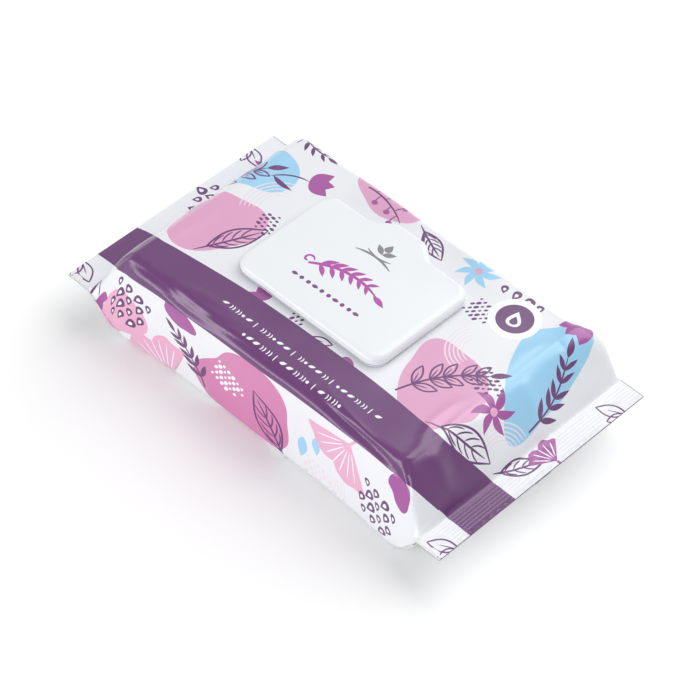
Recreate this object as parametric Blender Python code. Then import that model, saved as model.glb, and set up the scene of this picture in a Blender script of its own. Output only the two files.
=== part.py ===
"""A flow-wrapped pack of wet wipes with a moulded flip-top lid, in metres.

X runs along the pack, -Y is the side that faces the reader, +Z is up. The origin is on
the floor, under the middle of the stack of wipes.
"""

import math

import bmesh
import bpy
from mathutils import Vector

# The stack of folded wipes
WIPE_COUNT = 72
WIPE_PITCH = 0.000665  # height that one folded wipe adds
STACK_LENGTH = 0.161
STACK_WIDTH = 0.1046
STACK_ROUNDING = 0.004  # the pressed long edges of the stack
FOLD_DEPTH = 0.00025  # valley between two folded edges
LEAD_EDGE_Y = 0.004  # where the free edge of the top wipe lies
LEAD_EDGE_STEP = 0.0003

# The printed film
FILM = 0.0003  # stands in for 0.08 mm film
GAP = 0.0003  # left between pieces that touch
EDGE_RADIUS = 0.004  # the long edges of the wrapped body
TOP_SHOULDER = 0.0025  # from the end of the stack to the end of the flat top
BOTTOM_SHOULDER = 0.0055
END_RUN = 0.0165  # from the end of the flat top to the end seal
SHOULDER_ROUNDING = 0.004
SEAL_HEIGHT = 0.023  # of the end seals over the floor
SEAL_DEPTH = 0.013  # of each end seal, along X
SEAL_THICKNESS = 0.0008
SEAL_RIBS = 8
RIB_HEIGHT = 0.0002
SEAL_OVERLAP = 0.001  # how far the seal reaches into the body
TUCK = 0.015  # how far each side is tucked in at the seals
SIDE_LEAN = 0.0026  # the side walls stand this much further out at the bottom
SIDE_SWELL = 0.0011  # soft waves of the side walls
SWELL_PITCH = 0.047
EAR_SWELL = 0.005  # the tucked sides push the wall out at both ends of the body
EAR_REACH = 0.022
END_BULGE = 0.003  # the sloping ends are domed by this much
CREASE_HEIGHT = 0.0012  # radial creases over the sloping ends
CREASE_PITCH = 0.027
CAVITY_REACH = 0.8  # share of the sloping end that is hollow
FIN_WIDTH = 0.011  # the lengthwise seal, folded flat under the pack

# The hole in the film and the flip-top on it
LID_X = -0.0026  # middle of the lid's rectangle
LID_Y = 0.0032
LID_LENGTH = 0.0858
LID_WIDTH = 0.0592
LID_CORNER = 0.008
LID_HEIGHT = 0.0051  # of the cover, skirt to top
LID_WALL = 0.0012
LID_ROUNDING = 0.0024
SKIRT_GAP = 0.0009  # from the film up to the skirt
HUMP_DEPTH = 0.0073  # of the rounded hump on the hinge side
HUMP_FLAT = 0.006  # half the hump's straight outer edge
HUMP_REACH = 0.0205  # half the hump's width where it leaves the rectangle
FRAME_THICKNESS = 0.0012
FRAME_GAP = 0.0004  # running gap between the frame and the skirt
FRAME_HUMP_GAP = 0.0014  # the frame stays this much shorter under the hump
RIM_WALL = 0.001
RIM_HEIGHT = 0.0017  # of the frame's outer rim over its plate
MOUTH_LENGTH = 0.058
MOUTH_WIDTH = 0.032
MOUTH_CORNER = 0.013
COLLAR_WALL = 0.0012
FILM_LIP = 0.002  # film left inside the frame's mouth, all round
SEAL_RIB_WALL = 0.0009
SEAL_RIB_GAP = 0.0004
SEAL_RIB_DEPTH = 0.0022
HINGE_RISE = 0.0014  # of the hinge axis over the skirt's lower edge
HINGE_LUG = 0.004  # how far the frame's lug reaches in from the axis
HINGE_LIP = 0.0005  # thin outer edge of each half of the hinge
HINGE_RELIEF = 0.0006
HINGE_SIDE_GAP = 0.0004

# What follows from the sizes above
STACK_HEIGHT = WIPE_COUNT * WIPE_PITCH
PANEL_Z = 2 * FILM + GAP  # underside of the bottom panel where it covers the fin
STACK_BOTTOM = PANEL_Z + FILM + GAP
BODY_TOP = STACK_BOTTOM + STACK_HEIGHT + GAP + FILM
HALF_BODY = STACK_WIDTH / 2 + GAP + FILM
HALF_SEAL = HALF_BODY + BODY_TOP / 2 - TUCK
TOP_END = STACK_LENGTH / 2 + TOP_SHOULDER
BOTTOM_END = STACK_LENGTH / 2 + BOTTOM_SHOULDER
SEAL_START = TOP_END + END_RUN
HALF_PACK = SEAL_START + SEAL_DEPTH

FRAME_Z = BODY_TOP + GAP
PLATE_TOP = FRAME_Z + FRAME_THICKNESS
SKIRT_Z = BODY_TOP + SKIRT_GAP
LID_TOP = SKIRT_Z + LID_HEIGHT
CEILING = LID_TOP - LID_WALL
HINGE_Y = LID_Y + LID_WIDTH / 2 + HUMP_DEPTH
HINGE_Z = SKIRT_Z + HINGE_RISE

# How finely the round shapes are drawn
ARC_STEPS = 3
CORNER_STEPS = 6
HUMP_STEPS = 6
TOP_POINTS = 8
SIDE_POINTS = 3
BOTTOM_POINTS = 4
OVERSHOOT = 0.002  # how far a cutter reaches past what it cuts


def clear_scene():
    for obj in list(bpy.data.objects):
        bpy.data.objects.remove(obj, do_unlink=True)


def new_collection(name):
    collection = bpy.data.collections.new(name)
    bpy.context.scene.collection.children.link(collection)
    return collection


def plastic(name, color, roughness):
    """A Principled material for one piece."""
    material = bpy.data.materials.new(name)
    material.use_nodes = True
    shader = material.node_tree.nodes["Principled BSDF"]
    shader.inputs["Base Color"].default_value = (*color, 1.0)
    shader.inputs["Roughness"].default_value = roughness
    shader.inputs["Metallic"].default_value = 0.0
    return material


def smooth_max(a, b, width):
    """The larger of two values, with a rounded change from one to the other."""
    blend = max(width - abs(a - b), 0.0) / width
    return max(a, b) + blend * blend * width / 4


def smooth_min(a, b, width):
    return -smooth_max(-a, -b, width)


def arc(centre, radius, start, end, steps):
    """Points along an arc, in degrees, with both ends."""
    points = []
    for step in range(steps + 1):
        angle = math.radians(start + (end - start) * step / steps)
        offset = Vector((math.cos(angle), math.sin(angle))) * radius
        points.append(Vector(centre) + offset)
    return points


def inset_loop(loop, distance):
    """A closed counterclockwise outline moved inwards by a distance."""
    moved = []
    for index, point in enumerate(loop):
        before = (point - loop[index - 1]).normalized()
        after = (loop[(index + 1) % len(loop)] - point).normalized()
        inward = Vector((-before.y - after.y, before.x + after.x))
        moved.append(point + inward * distance / max(1.0 + before.dot(after), 0.12))
    return moved


def loft(rings):
    """A closed mesh through rings of as many points each, with a face over both ends."""
    mesh = bmesh.new()
    levels = [[mesh.verts.new(point) for point in ring] for ring in rings]
    for low, high in zip(levels, levels[1:]):
        for index in range(len(low)):
            mesh.faces.new((low[index - 1], low[index], high[index], high[index - 1]))
    mesh.faces.new(reversed(levels[0]))
    mesh.faces.new(levels[-1])
    bmesh.ops.recalc_face_normals(mesh, faces=mesh.faces)
    return mesh


def prism(loop, low, high):
    """An upright solid over a flat outline."""
    return loft([[Vector((p.x, p.y, z)) for p in loop] for z in (low, high)])


def box(low, high):
    mesh = bmesh.new()
    bmesh.ops.create_cube(mesh, size=1.0)
    size = Vector(high) - Vector(low)
    bmesh.ops.scale(mesh, vec=size, verts=mesh.verts)
    bmesh.ops.translate(mesh, vec=(Vector(low) + Vector(high)) / 2, verts=mesh.verts)
    return mesh


def add_object(name, mesh, collection, material=None, origin=(0.0, 0.0, 0.0)):
    """An object from a mesh drawn in world space, with its own origin."""
    bmesh.ops.translate(mesh, vec=-Vector(origin), verts=mesh.verts)
    data = bpy.data.meshes.new(name)
    mesh.to_mesh(data)
    mesh.free()
    obj = bpy.data.objects.new(name, data)
    obj.location = origin
    collection.objects.link(obj)
    if material:
        data.materials.append(material)
        data.shade_smooth()
        data.set_sharp_from_angle(angle=math.radians(35))
    return obj


def combine(target, name, mesh, operation):
    """Joins a helper shape to the target, or cuts it away."""
    helper = add_object(name, mesh, bpy.data.collections["cutters"])
    helper.hide_render = True
    helper.display_type = "WIRE"
    modifier = target.modifiers.new(name, "BOOLEAN")
    modifier.operation = operation
    modifier.solver = "EXACT"
    modifier.object = helper


def slope_between(start, end, rise):
    return rise / (end - start)


def end_share(x):
    """0 over the flat top, 1 where the end seal starts."""
    return min(max((abs(x) - TOP_END) / END_RUN, 0.0), 1.0)


def film_heights(x):
    """Top and bottom of the film's section at x."""
    half_seal = SEAL_THICKNESS / 2 - RIB_HEIGHT / 2
    bulge = END_BULGE * 4 * end_share(x) * (1.0 - end_share(x))
    drop = slope_between(TOP_END, SEAL_START, BODY_TOP - SEAL_HEIGHT - half_seal)
    top = BODY_TOP - (abs(x) - TOP_END) * drop + bulge
    top = smooth_min(BODY_TOP, top, SHOULDER_ROUNDING)
    climb = slope_between(BOTTOM_END, SEAL_START, SEAL_HEIGHT - half_seal)
    bottom = (abs(x) - BOTTOM_END) * climb - bulge
    return top, smooth_max(0.0, bottom, SHOULDER_ROUNDING)


def film_widths(x):
    """Half width of the film's section at x, and how far its sides are tucked in."""
    widen = slope_between(TOP_END, SEAL_START, HALF_SEAL - HALF_BODY)
    half = HALF_BODY + (abs(x) - TOP_END) * widen
    half = smooth_max(HALF_BODY, half, SHOULDER_ROUNDING)
    tuck = (abs(x) - TOP_END) * slope_between(TOP_END, SEAL_START, TUCK)
    tuck = smooth_max(0.0, tuck, SHOULDER_ROUNDING / 2)
    return half, tuck


def side_swell(x, z, side):
    """How far the soft side wall stands out between its two long edges."""
    share = min(max(z / BODY_TOP, 0.0), 1.0)
    wave = 0.5 + 0.5 * math.cos(2 * math.pi * x / SWELL_PITCH + side)
    swell = SIDE_SWELL * math.sin(math.pi * share) * wave
    from_end = (abs(x) - TOP_END) / EAR_REACH
    ear = EAR_SWELL * math.exp(-from_end * from_end) * math.sin(math.pi * share**0.55)
    return (swell + ear) * (1.0 - end_share(x))


def crease(x, y):
    """Height of the creases that run from the end seals up to the shoulders."""
    share = end_share(x)
    wave = math.cos(2 * math.pi * y / CREASE_PITCH)
    return -CREASE_HEIGHT * (0.5 + 0.5 * wave) * 4 * share * (1.0 - share)


def film_side(x, side):
    """Half of the film's section in the Y-Z plane, from the top's middle to the bottom's."""
    top, bottom = film_heights(x)
    half, tuck = film_widths(x)
    share = end_share(x)
    middle = bottom + (top - bottom) * SEAL_HEIGHT / BODY_TOP
    middle += (SEAL_HEIGHT - middle) * share
    radius = min(EDGE_RADIUS * (1.0 - 0.75 * share), (top - middle) / 2.4)
    flat = half - radius
    low_half = half + SIDE_LEAN * (1.0 - share)
    points = []
    for step in range(TOP_POINTS):
        y = flat * step / TOP_POINTS
        points.append(Vector((y, top + crease(x, y))))
    points += arc((flat, top - radius), radius, 90, 0, ARC_STEPS)
    fold = Vector(((half + low_half) / 2 - tuck, middle))
    for step in range(1, SIDE_POINTS):
        points.append(points[TOP_POINTS + ARC_STEPS].lerp(fold, step / SIDE_POINTS))
    points.append(fold)
    low_flat = low_half - radius
    low_edge = Vector((low_half, bottom + radius))
    for step in range(1, SIDE_POINTS):
        points.append(fold.lerp(low_edge, step / SIDE_POINTS))
    points += arc((low_flat, bottom + radius), radius, 0, -90, ARC_STEPS)
    for step in range(1, BOTTOM_POINTS):
        points.append(Vector((low_flat * (1 - step / BOTTOM_POINTS), bottom)))
    points.append(Vector((0.0, bottom)))
    for point in points[TOP_POINTS + ARC_STEPS : -BOTTOM_POINTS]:
        point.x += side_swell(x, point.y, side)
    return points


def film_ring(x, inset):
    """The film's whole section at x, moved inwards by a wall that lies square to the film."""
    right = film_side(x, 0.0)
    left = film_side(x, 1.9)
    loop = [Vector((-p.x, p.y)) for p in left[1:-1]]
    loop = list(reversed(right)) + loop
    if inset:
        share = 0.0 if abs(x) < TOP_END else 1.0
        lean = slope_between(TOP_END, SEAL_START, BODY_TOP - SEAL_HEIGHT) * share
        loop = inset_loop(loop, inset * math.hypot(1.0, lean))
    return [Vector((x, p.x, p.y)) for p in loop]


def stations(reach, end_steps, middle_steps):
    """Places along X for the film's sections, close together over the sloping ends."""
    start = TOP_END - SHOULDER_ROUNDING
    ends = [start + (reach - start) * step / end_steps for step in range(end_steps + 1)]
    middle = [start * (2 * step / middle_steps - 1) for step in range(1, middle_steps)]
    return [-x for x in reversed(ends)] + middle + ends


def seal_profile(sign):
    """Side view of an end seal: pressed ribs on both faces, then the cut edge."""
    start = SEAL_START - SEAL_OVERLAP
    pitch = (HALF_PACK - SEAL_START) / SEAL_RIBS
    upper = [Vector((start, SEAL_THICKNESS / 2 - RIB_HEIGHT))]
    for rib in range(SEAL_RIBS):
        valley = SEAL_START + rib * pitch
        upper.append(Vector((valley, SEAL_THICKNESS / 2 - RIB_HEIGHT)))
        upper.append(Vector((valley + pitch / 2, SEAL_THICKNESS / 2)))
    upper.append(Vector((HALF_PACK, SEAL_THICKNESS / 2 - RIB_HEIGHT)))
    lower = [Vector((p.x, p.y - SEAL_THICKNESS + RIB_HEIGHT)) for p in reversed(upper)]
    return [Vector((sign * p.x, p.y + SEAL_HEIGHT)) for p in upper + lower]


def end_seal(sign):
    profile = seal_profile(sign)
    sides = (-HALF_SEAL, HALF_SEAL)
    return loft([[Vector((p.x, y, p.y)) for p in profile] for y in sides])


def rounded_rectangle(half_x, half_y, corner, steps):
    """Counterclockwise outline round the origin."""
    points = []
    for sign_x, sign_y, start in ((1, 1, 0), (-1, 1, 90), (-1, -1, 180), (1, -1, 270)):
        centre = (sign_x * (half_x - corner), sign_y * (half_y - corner))
        points += arc(centre, corner, start, start + 90, steps)
    return points


def mouth_outline(grow):
    """Outline of the dispensing mouth, larger by grow on every side."""
    half_x = MOUTH_LENGTH / 2 + grow
    half_y = MOUTH_WIDTH / 2 + grow
    loop = rounded_rectangle(half_x, half_y, MOUTH_CORNER + grow, CORNER_STEPS)
    return [Vector((p.x + LID_X, p.y + LID_Y)) for p in loop]


def hump_flank(depth, share):
    """A point of the hump's S-shaped flank, from its outer edge down to the rectangle."""
    across = HUMP_FLAT + (HUMP_REACH - HUMP_FLAT) * share
    return across, depth * (0.5 + 0.5 * math.cos(math.pi * share))


def lid_outline(inset, hump_depth):
    """The lid seen from above: a rounded rectangle with a bell-shaped hump at the back."""
    half_x = LID_LENGTH / 2
    half_y = LID_WIDTH / 2
    corners = rounded_rectangle(half_x, half_y, LID_CORNER, CORNER_STEPS)
    split = CORNER_STEPS + 1
    flank = [hump_flank(hump_depth, step / HUMP_STEPS) for step in range(HUMP_STEPS + 1)]
    right = [Vector((across, half_y + rise)) for across, rise in reversed(flank)]
    left = [Vector((-p.x, p.y)) for p in reversed(right)]
    loop = corners[:split] + right + left + corners[split:]
    loop = [Vector((p.x + LID_X, p.y + LID_Y)) for p in loop]
    return inset_loop(loop, inset) if inset else loop


def build_film(collection):
    """The film: one skin round the stack, its end seals, its fin and its die-cut hole."""
    outer = loft([film_ring(x, 0.0) for x in stations(SEAL_START, 8, 14)])
    film = add_object(
        "film_wrap", outer, collection, plastic("printed_film", (0.86, 0.83, 0.91), 0.28)
    )
    for sign, name in ((-1, "left_seal"), (1, "right_seal")):
        combine(film, name, end_seal(sign), "UNION")
    reach = TOP_END + END_RUN * CAVITY_REACH
    cavity = loft([film_ring(x, FILM) for x in stations(reach, 6, 14)])
    combine(film, "cavity", cavity, "DIFFERENCE")
    half_fin = FIN_WIDTH / 2
    fin_end = STACK_LENGTH / 2
    pad_low = (-fin_end, -half_fin - FILM - GAP, FILM / 2)
    pad_high = (fin_end, half_fin + FILM + GAP, PANEL_Z + FILM)
    combine(film, "fin_cover", box(pad_low, pad_high), "UNION")
    slot_low = (-fin_end - OVERSHOOT, -half_fin, 2 * FILM)
    slot_high = (fin_end + OVERSHOOT, half_fin, PANEL_Z)
    combine(film, "fin_slot", box(slot_low, slot_high), "DIFFERENCE")
    edge_low = (-fin_end - OVERSHOOT, -half_fin - GAP, -OVERSHOOT)
    edge_high = (fin_end + OVERSHOOT, -half_fin + GAP / 10, PANEL_Z)
    combine(film, "fin_edge", box(edge_low, edge_high), "DIFFERENCE")
    hole = prism(mouth_outline(-FILM_LIP), BODY_TOP - OVERSHOOT, BODY_TOP + OVERSHOOT)
    combine(film, "film_hole", hole, "DIFFERENCE")


def stack_half_width(z):
    """Half width of the stack at a height over its bottom, rounded at both long edges."""
    into_corner = max(STACK_ROUNDING - min(z, STACK_HEIGHT - z), 0.0)
    side = math.sqrt(max(STACK_ROUNDING**2 - into_corner**2, 0.0))
    return STACK_WIDTH / 2 - STACK_ROUNDING + side


def build_stack(collection):
    """The wipes: every folded edge shows as a ridge along both long sides."""
    side = [Vector((stack_half_width(0.0), 0.0))]
    for wipe in range(WIPE_COUNT):
        tip = (wipe + 0.5) * WIPE_PITCH
        side.append(Vector((stack_half_width(tip), tip)))
        valley = (wipe + 1) * WIPE_PITCH
        side.append(Vector((stack_half_width(valley) - FOLD_DEPTH, valley)))
    step = [Vector((LEAD_EDGE_Y + LEAD_EDGE_STEP, 0.0)), Vector((LEAD_EDGE_Y, 0.0))]
    step[0].y = STACK_HEIGHT - LEAD_EDGE_STEP
    step[1].y = STACK_HEIGHT
    side[-1].y = STACK_HEIGHT - LEAD_EDGE_STEP
    other = [Vector((-p.x, p.y)) for p in reversed(side)]
    other[0].y = STACK_HEIGHT
    section = side + step + other
    ends = (-STACK_LENGTH / 2, STACK_LENGTH / 2)
    rings = [[Vector((x, p.x, p.y + STACK_BOTTOM)) for p in section] for x in ends]
    material = plastic("moist_nonwoven", (0.93, 0.93, 0.92), 0.75)
    add_object("wipes_stack", loft(rings), collection, material)


def add_ring(target, name, outer, inner, low, high):
    """Joins an upright wall between two outlines to the target."""
    rings = []
    for loop, z in ((inner, low), (outer, low), (outer, high), (inner, high), (inner, low)):
        rings.append([Vector((p.x, p.y, z)) for p in loop])
    mesh = bmesh.new()
    levels = [[mesh.verts.new(point) for point in ring] for ring in rings[:-1]]
    levels.append(levels[0])
    for first, second in zip(levels, levels[1:]):
        for index in range(len(first)):
            corners = (first[index - 1], first[index], second[index], second[index - 1])
            mesh.faces.new(corners)
    bmesh.ops.recalc_face_normals(mesh, faces=mesh.faces)
    combine(target, name, mesh, "UNION")


def build_frame(collection):
    """The glued base: plate, outer rim, collar round the mouth and the hinge lug."""
    edge = LID_WALL + FRAME_GAP
    hump = HUMP_DEPTH - FRAME_HUMP_GAP
    plate = prism(lid_outline(edge, hump), FRAME_Z, PLATE_TOP)
    frame = add_object(
        "lid_frame", plate, collection, plastic("frame_plastic", (0.9, 0.91, 0.93), 0.3)
    )
    rim_top = PLATE_TOP + RIM_HEIGHT
    sunk = PLATE_TOP - FRAME_THICKNESS / 2
    outer = lid_outline(edge, 0.0)
    add_ring(frame, "rim", outer, lid_outline(edge + RIM_WALL, 0.0), sunk, rim_top)
    outer = mouth_outline(COLLAR_WALL)
    inner = mouth_outline(-COLLAR_WALL)
    add_ring(frame, "collar", outer, inner, sunk, CEILING - GAP)
    lip_top = HINGE_Z - GAP / 2
    lug_y = HINGE_Y - HINGE_LUG
    half = HUMP_FLAT
    lug_low = (LID_X - half, lug_y, FRAME_Z)
    lug_high = (LID_X + half, HINGE_Y, lip_top)
    combine(frame, "hinge_lug", box(lug_low, lug_high), "UNION")
    relief_low = (LID_X - half - OVERSHOOT, lug_y - OVERSHOOT, lip_top - HINGE_RELIEF)
    relief_high = (LID_X + half + OVERSHOOT, HINGE_Y - HINGE_LIP, lip_top + OVERSHOOT)
    combine(frame, "hinge_relief", box(relief_low, relief_high), "DIFFERENCE")
    mouth = prism(mouth_outline(0.0), FRAME_Z - OVERSHOOT, LID_TOP)
    combine(frame, "mouth", mouth, "DIFFERENCE")


def lid_ring(inset, z):
    return [Vector((p.x, p.y, z)) for p in lid_outline(inset, HUMP_DEPTH)]


def build_lid(collection):
    """The cover: a shallow shell with a rounded upper edge, a sealing rib and a hinge edge."""
    rings = [lid_ring(LID_WALL, CEILING), lid_ring(LID_WALL, SKIRT_Z), lid_ring(0.0, SKIRT_Z)]
    for point in arc((LID_ROUNDING, LID_TOP - LID_ROUNDING), LID_ROUNDING, 180, 90, 4):
        rings.append(lid_ring(point.x, point.y))
    axis = (LID_X, HINGE_Y, HINGE_Z)
    material = plastic("lid_plastic", (0.93, 0.94, 0.96), 0.16)
    lid = add_object("flip_lid", loft(rings), collection, material, axis)
    inner = mouth_outline(COLLAR_WALL + SEAL_RIB_GAP)
    outer = mouth_outline(COLLAR_WALL + SEAL_RIB_GAP + SEAL_RIB_WALL)
    rib_z = CEILING - SEAL_RIB_DEPTH
    add_ring(lid, "sealing_rib", outer, inner, rib_z, CEILING + LID_WALL / 2)
    half = HUMP_FLAT + HINGE_SIDE_GAP
    edge_z = HINGE_Z + GAP / 2
    notch_low = (LID_X - half, HINGE_Y - LID_WALL - OVERSHOOT, SKIRT_Z - OVERSHOOT)
    notch_high = (LID_X + half, HINGE_Y + OVERSHOOT, edge_z)
    combine(lid, "hinge_notch", box(notch_low, notch_high), "DIFFERENCE")
    relief_low = (notch_low[0], notch_low[1], SKIRT_Z - OVERSHOOT)
    relief_high = (LID_X + half, HINGE_Y - HINGE_LIP, edge_z + HINGE_RELIEF)
    combine(lid, "hinge_thinning", box(relief_low, relief_high), "DIFFERENCE")


def main():
    clear_scene()
    pack = new_collection("wet_wipes_pack")
    cutters = new_collection("cutters")
    cutters.hide_render = True
    build_film(pack)
    build_stack(pack)
    build_frame(pack)
    build_lid(pack)


main()
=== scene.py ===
"""The looks of a pack of wet wipes: printed film, flip-top lid, folded wipes.

X runs along the pack, -Y is the side that faces the reader, +Z is up, in metres.
The film's print is laid out in millimetres on the flat film: "along" from the middle to
the cut ends, "across" from the middle of the top face, over the front wall when positive.
"""

import math

import bmesh
import bpy
import numpy as np
from mathutils import Matrix, Vector, geometry


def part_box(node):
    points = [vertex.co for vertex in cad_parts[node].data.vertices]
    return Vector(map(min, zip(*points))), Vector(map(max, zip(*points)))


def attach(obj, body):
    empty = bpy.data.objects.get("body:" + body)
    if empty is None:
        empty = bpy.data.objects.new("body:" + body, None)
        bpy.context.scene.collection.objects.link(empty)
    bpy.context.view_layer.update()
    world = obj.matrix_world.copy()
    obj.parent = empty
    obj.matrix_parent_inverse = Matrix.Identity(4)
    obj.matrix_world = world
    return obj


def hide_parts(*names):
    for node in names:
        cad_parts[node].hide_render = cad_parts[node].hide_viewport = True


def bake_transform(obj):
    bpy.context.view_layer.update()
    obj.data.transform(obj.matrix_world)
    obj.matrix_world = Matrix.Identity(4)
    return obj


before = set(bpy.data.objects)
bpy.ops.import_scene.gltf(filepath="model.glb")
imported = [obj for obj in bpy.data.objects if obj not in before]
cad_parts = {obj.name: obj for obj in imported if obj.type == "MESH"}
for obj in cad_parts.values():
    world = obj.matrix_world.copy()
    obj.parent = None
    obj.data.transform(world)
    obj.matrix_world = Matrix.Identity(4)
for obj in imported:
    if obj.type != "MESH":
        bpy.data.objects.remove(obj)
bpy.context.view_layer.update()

MM = 0.001

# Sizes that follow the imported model
FILM_LOW, FILM_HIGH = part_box("film_wrap")
STACK_LOW, STACK_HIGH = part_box("wipes_stack")
FRAME_LOW, FRAME_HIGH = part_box("lid_frame")
LID_LOW, LID_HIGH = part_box("flip_lid")
HALF_PACK = FILM_HIGH[0]
HALF_SEAL = FILM_HIGH[1]
BODY_TOP = FILM_HIGH[2]
STACK_LENGTH = STACK_HIGH[0] - STACK_LOW[0]
STACK_WIDTH = STACK_HIGH[1] - STACK_LOW[1]
LID_TOP = LID_HIGH[2]
SKIRT_Z = LID_LOW[2]
HINGE_Y = LID_HIGH[1]
FRAME_Z = FRAME_LOW[2]

# The film's section, as in the construction
FILM = 0.0003
GAP = 0.0003
EDGE_RADIUS = 0.004
TOP_SHOULDER = 0.0025
BOTTOM_SHOULDER = 0.0055
SHOULDER_ROUNDING = 0.004
SEAL_HEIGHT = 0.023
SEAL_DEPTH = 0.013
SEAL_RIBS = 8
TUCK = 0.015
SIDE_LEAN = 0.0026
SIDE_SWELL = 0.0011
SWELL_PITCH = 0.047
EAR_SWELL = 0.005
EAR_REACH = 0.022
END_BULGE = 0.003
CREASE_HEIGHT = 0.0012
CREASE_PITCH = 0.027
FIN_WIDTH = 0.011
HALF_BODY = STACK_WIDTH / 2 + GAP + FILM
TOP_END = STACK_LENGTH / 2 + TOP_SHOULDER
BOTTOM_END = STACK_LENGTH / 2 + BOTTOM_SHOULDER
SEAL_START = HALF_PACK - SEAL_DEPTH
END_RUN = SEAL_START - TOP_END
HALF_GIRTH = 2 * (HALF_SEAL + TUCK)  # across the film, from the top's middle to the bottom's

# The film's finer form, beyond the solids
SHEET = 0.00012  # how thick the film is drawn
SEAL_HALF = 0.0004  # from the middle of an end seal to each of its faces
RIB_HEIGHT = 0.000035  # of the pressed ribs, shallower than on the solids
FIN_RAISE = 0.0009  # the bottom lies this high over the fin
CORNER_FLARE = 0.0035  # the front corner stands this much further out at the seal
CORNER_SOFT = 0.0095  # and is this much rounder there
CLIMB_LEFT = 1.0  # how late the side's outer edge climbs to the seal
CLIMB_RIGHT = 1.4
PLEAT_BODY = 0.0004  # height between the tuck's layers, from the body to the seal
PLEAT_GAP = 0.0012
PLEAT_SEAL = 0.0003
PLEAT_INSET = 0.003  # the tuck's lower edge lies this much further in, on the right
MEASURE_Y = 0.035  # where the film's run over the sloping ends is measured
NEAR_CUT = 0.00005  # what lies this close to an edge counts as on it
FILLET = 0.0012  # where a sloping end meets the seal; twice as wide in the middle
FLARE_SOFT = 0.2  # share of the sloping end in which the flare sets in
PLEAT_TURN = 0.8  # share of the sloping end from which the pleat closes towards the seal
BACK_PHASE = 1.9  # shifts the waves of the back wall against those of the front wall
FIN_BED = (0.0085, 0.0062)  # from the middle: where the bottom starts to rise over the fin, and is up
FIN_TURN = 0.0006
FIN_LAYERS = (0.00055, 0.00022)  # heights of the fin's two layers
RIB_START = (0.0006, 0.0018)  # past the start of the seal: where the ribs set in
SEAL_FADE = 0.0035  # before the seal: where the folds start to die out
FLOOR_FADE = (-0.004, 0.002)  # from the edge of the underside: where the waves die out
GLUE_FADE = (0.0005, 0.009)  # from the lid's outline: where the waves set in
SEAM_MARGIN = 0.012  # the relief ends this far before the seam
WAVE_HEIGHT = 0.00022  # of the film's long, shallow waves

# The flip-top, as in the construction
LID_X = (LID_LOW[0] + LID_HIGH[0]) / 2
LID_LENGTH = LID_HIGH[0] - LID_LOW[0]
HUMP_DEPTH = 0.0073
LID_WIDTH = LID_HIGH[1] - LID_LOW[1] - HUMP_DEPTH
LID_Y = LID_LOW[1] + LID_WIDTH / 2
LID_CORNER = 0.008
LID_WALL = 0.0012
LID_ROUNDING = 0.0032  # rounder than on the solid
LID_FOOT = 0.0011  # the skirt's rounded foot, inwards and up
LID_FOOT_RISE = 0.0017
HUMP_FLAT = 0.006
HUMP_REACH = 0.0205
FRAME_THICKNESS = 0.0012
FRAME_GAP = 0.0004
FRAME_HUMP_GAP = 0.0014
FLANGE_INSET = 0.0004  # the frame's thin foot, which shows under the cover
FLANGE_THICKNESS = 0.0003
EDGE_BREAK = 0.00014  # bevel on the moulded edges
RIM_WALL = 0.001
RIM_HEIGHT = 0.0017
MOUTH_LENGTH = 0.058
MOUTH_WIDTH = 0.032
MOUTH_CORNER = 0.013
COLLAR_WALL = 0.0012
FILM_LIP = 0.002
SEAL_RIB_WALL = 0.0009
SEAL_RIB_GAP = 0.0004
SEAL_RIB_DEPTH = 0.0022
HINGE_RISE = 0.0014
HINGE_LUG = 0.004
HINGE_LIP = 0.0005
HINGE_RELIEF = 0.0006
HINGE_SIDE_GAP = 0.0004
PLATE_TOP = FRAME_Z + FRAME_THICKNESS
CEILING = LID_TOP - LID_WALL
HINGE_Z = SKIRT_Z + HINGE_RISE
OVER = 0.002  # how far a cutting solid reaches past what it cuts

# The stack of wipes
WIPE_COUNT = 72
FOLD_DEPTH = 0.00025  # valley between two folded edges
FOLD_SETBACK = 0.004  # the rounded long edges of the stack
LEAD_EDGE_STEP = 0.0003  # at the free edge of the top wipe
LEAD_EDGE_Y = 0.004
LEAD_EDGE_WAVE = 0.0012
LEAD_EDGE_PULL = 0.0026  # the free edge is drawn up by this much
WIPE_WRINKLE = 0.00025

# Print colours, as they read on the film
INKS = {
    "film_white": (0.775, 0.784, 0.820),
    "blue": (0.300, 0.590, 0.810),
    "pink": (0.690, 0.335, 0.530),
    "hot_pink": (0.590, 0.180, 0.385),
    "light_pink": (0.750, 0.375, 0.545),
    "magenta": (0.330, 0.060, 0.295),
    "purple": (0.106, 0.014, 0.128),
    "blush": (0.785, 0.700, 0.770),
    "white": (0.860, 0.865, 0.890),
}
LID_INKS = {
    "lid_magenta": (0.42, 0.075, 0.36),
    "lid_purple": (0.20, 0.05, 0.22),
    "lid_grey": (0.22, 0.22, 0.24),
}
FILM_INSIDE = (0.80, 0.80, 0.82)
LID_WHITE = (0.815, 0.842, 0.868)
FRAME_WHITE = (0.875, 0.89, 0.92)
WIPE_WHITE = (0.86, 0.87, 0.87)
INK_LIFT = 0.00003  # of the lid's print over its top

# Floor and light
PLAIN_WHITE = (1.0, 1.0, 1.0, 1.0)
FLOOR_COLOR = (0.86, 0.86, 0.86, 1.0)
FLOOR_GLOW = 0.17
SKY_COLOR = (0.98, 0.99, 1.0, 1.0)
SKY_LEVEL = 0.36
KEY_LEVEL = 25.0
KEY_SIZE = (1.8, 1.8)
KEY_PLACE = (0.25, 0.95, 1.2)
FILL_LEVEL = 19.0
FILL_SIZE = (2.4, 0.6)
FILL_PLACE = (-0.2, -1.45, 0.34)
FILL_AIM = (0, 0, 0.02)

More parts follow.
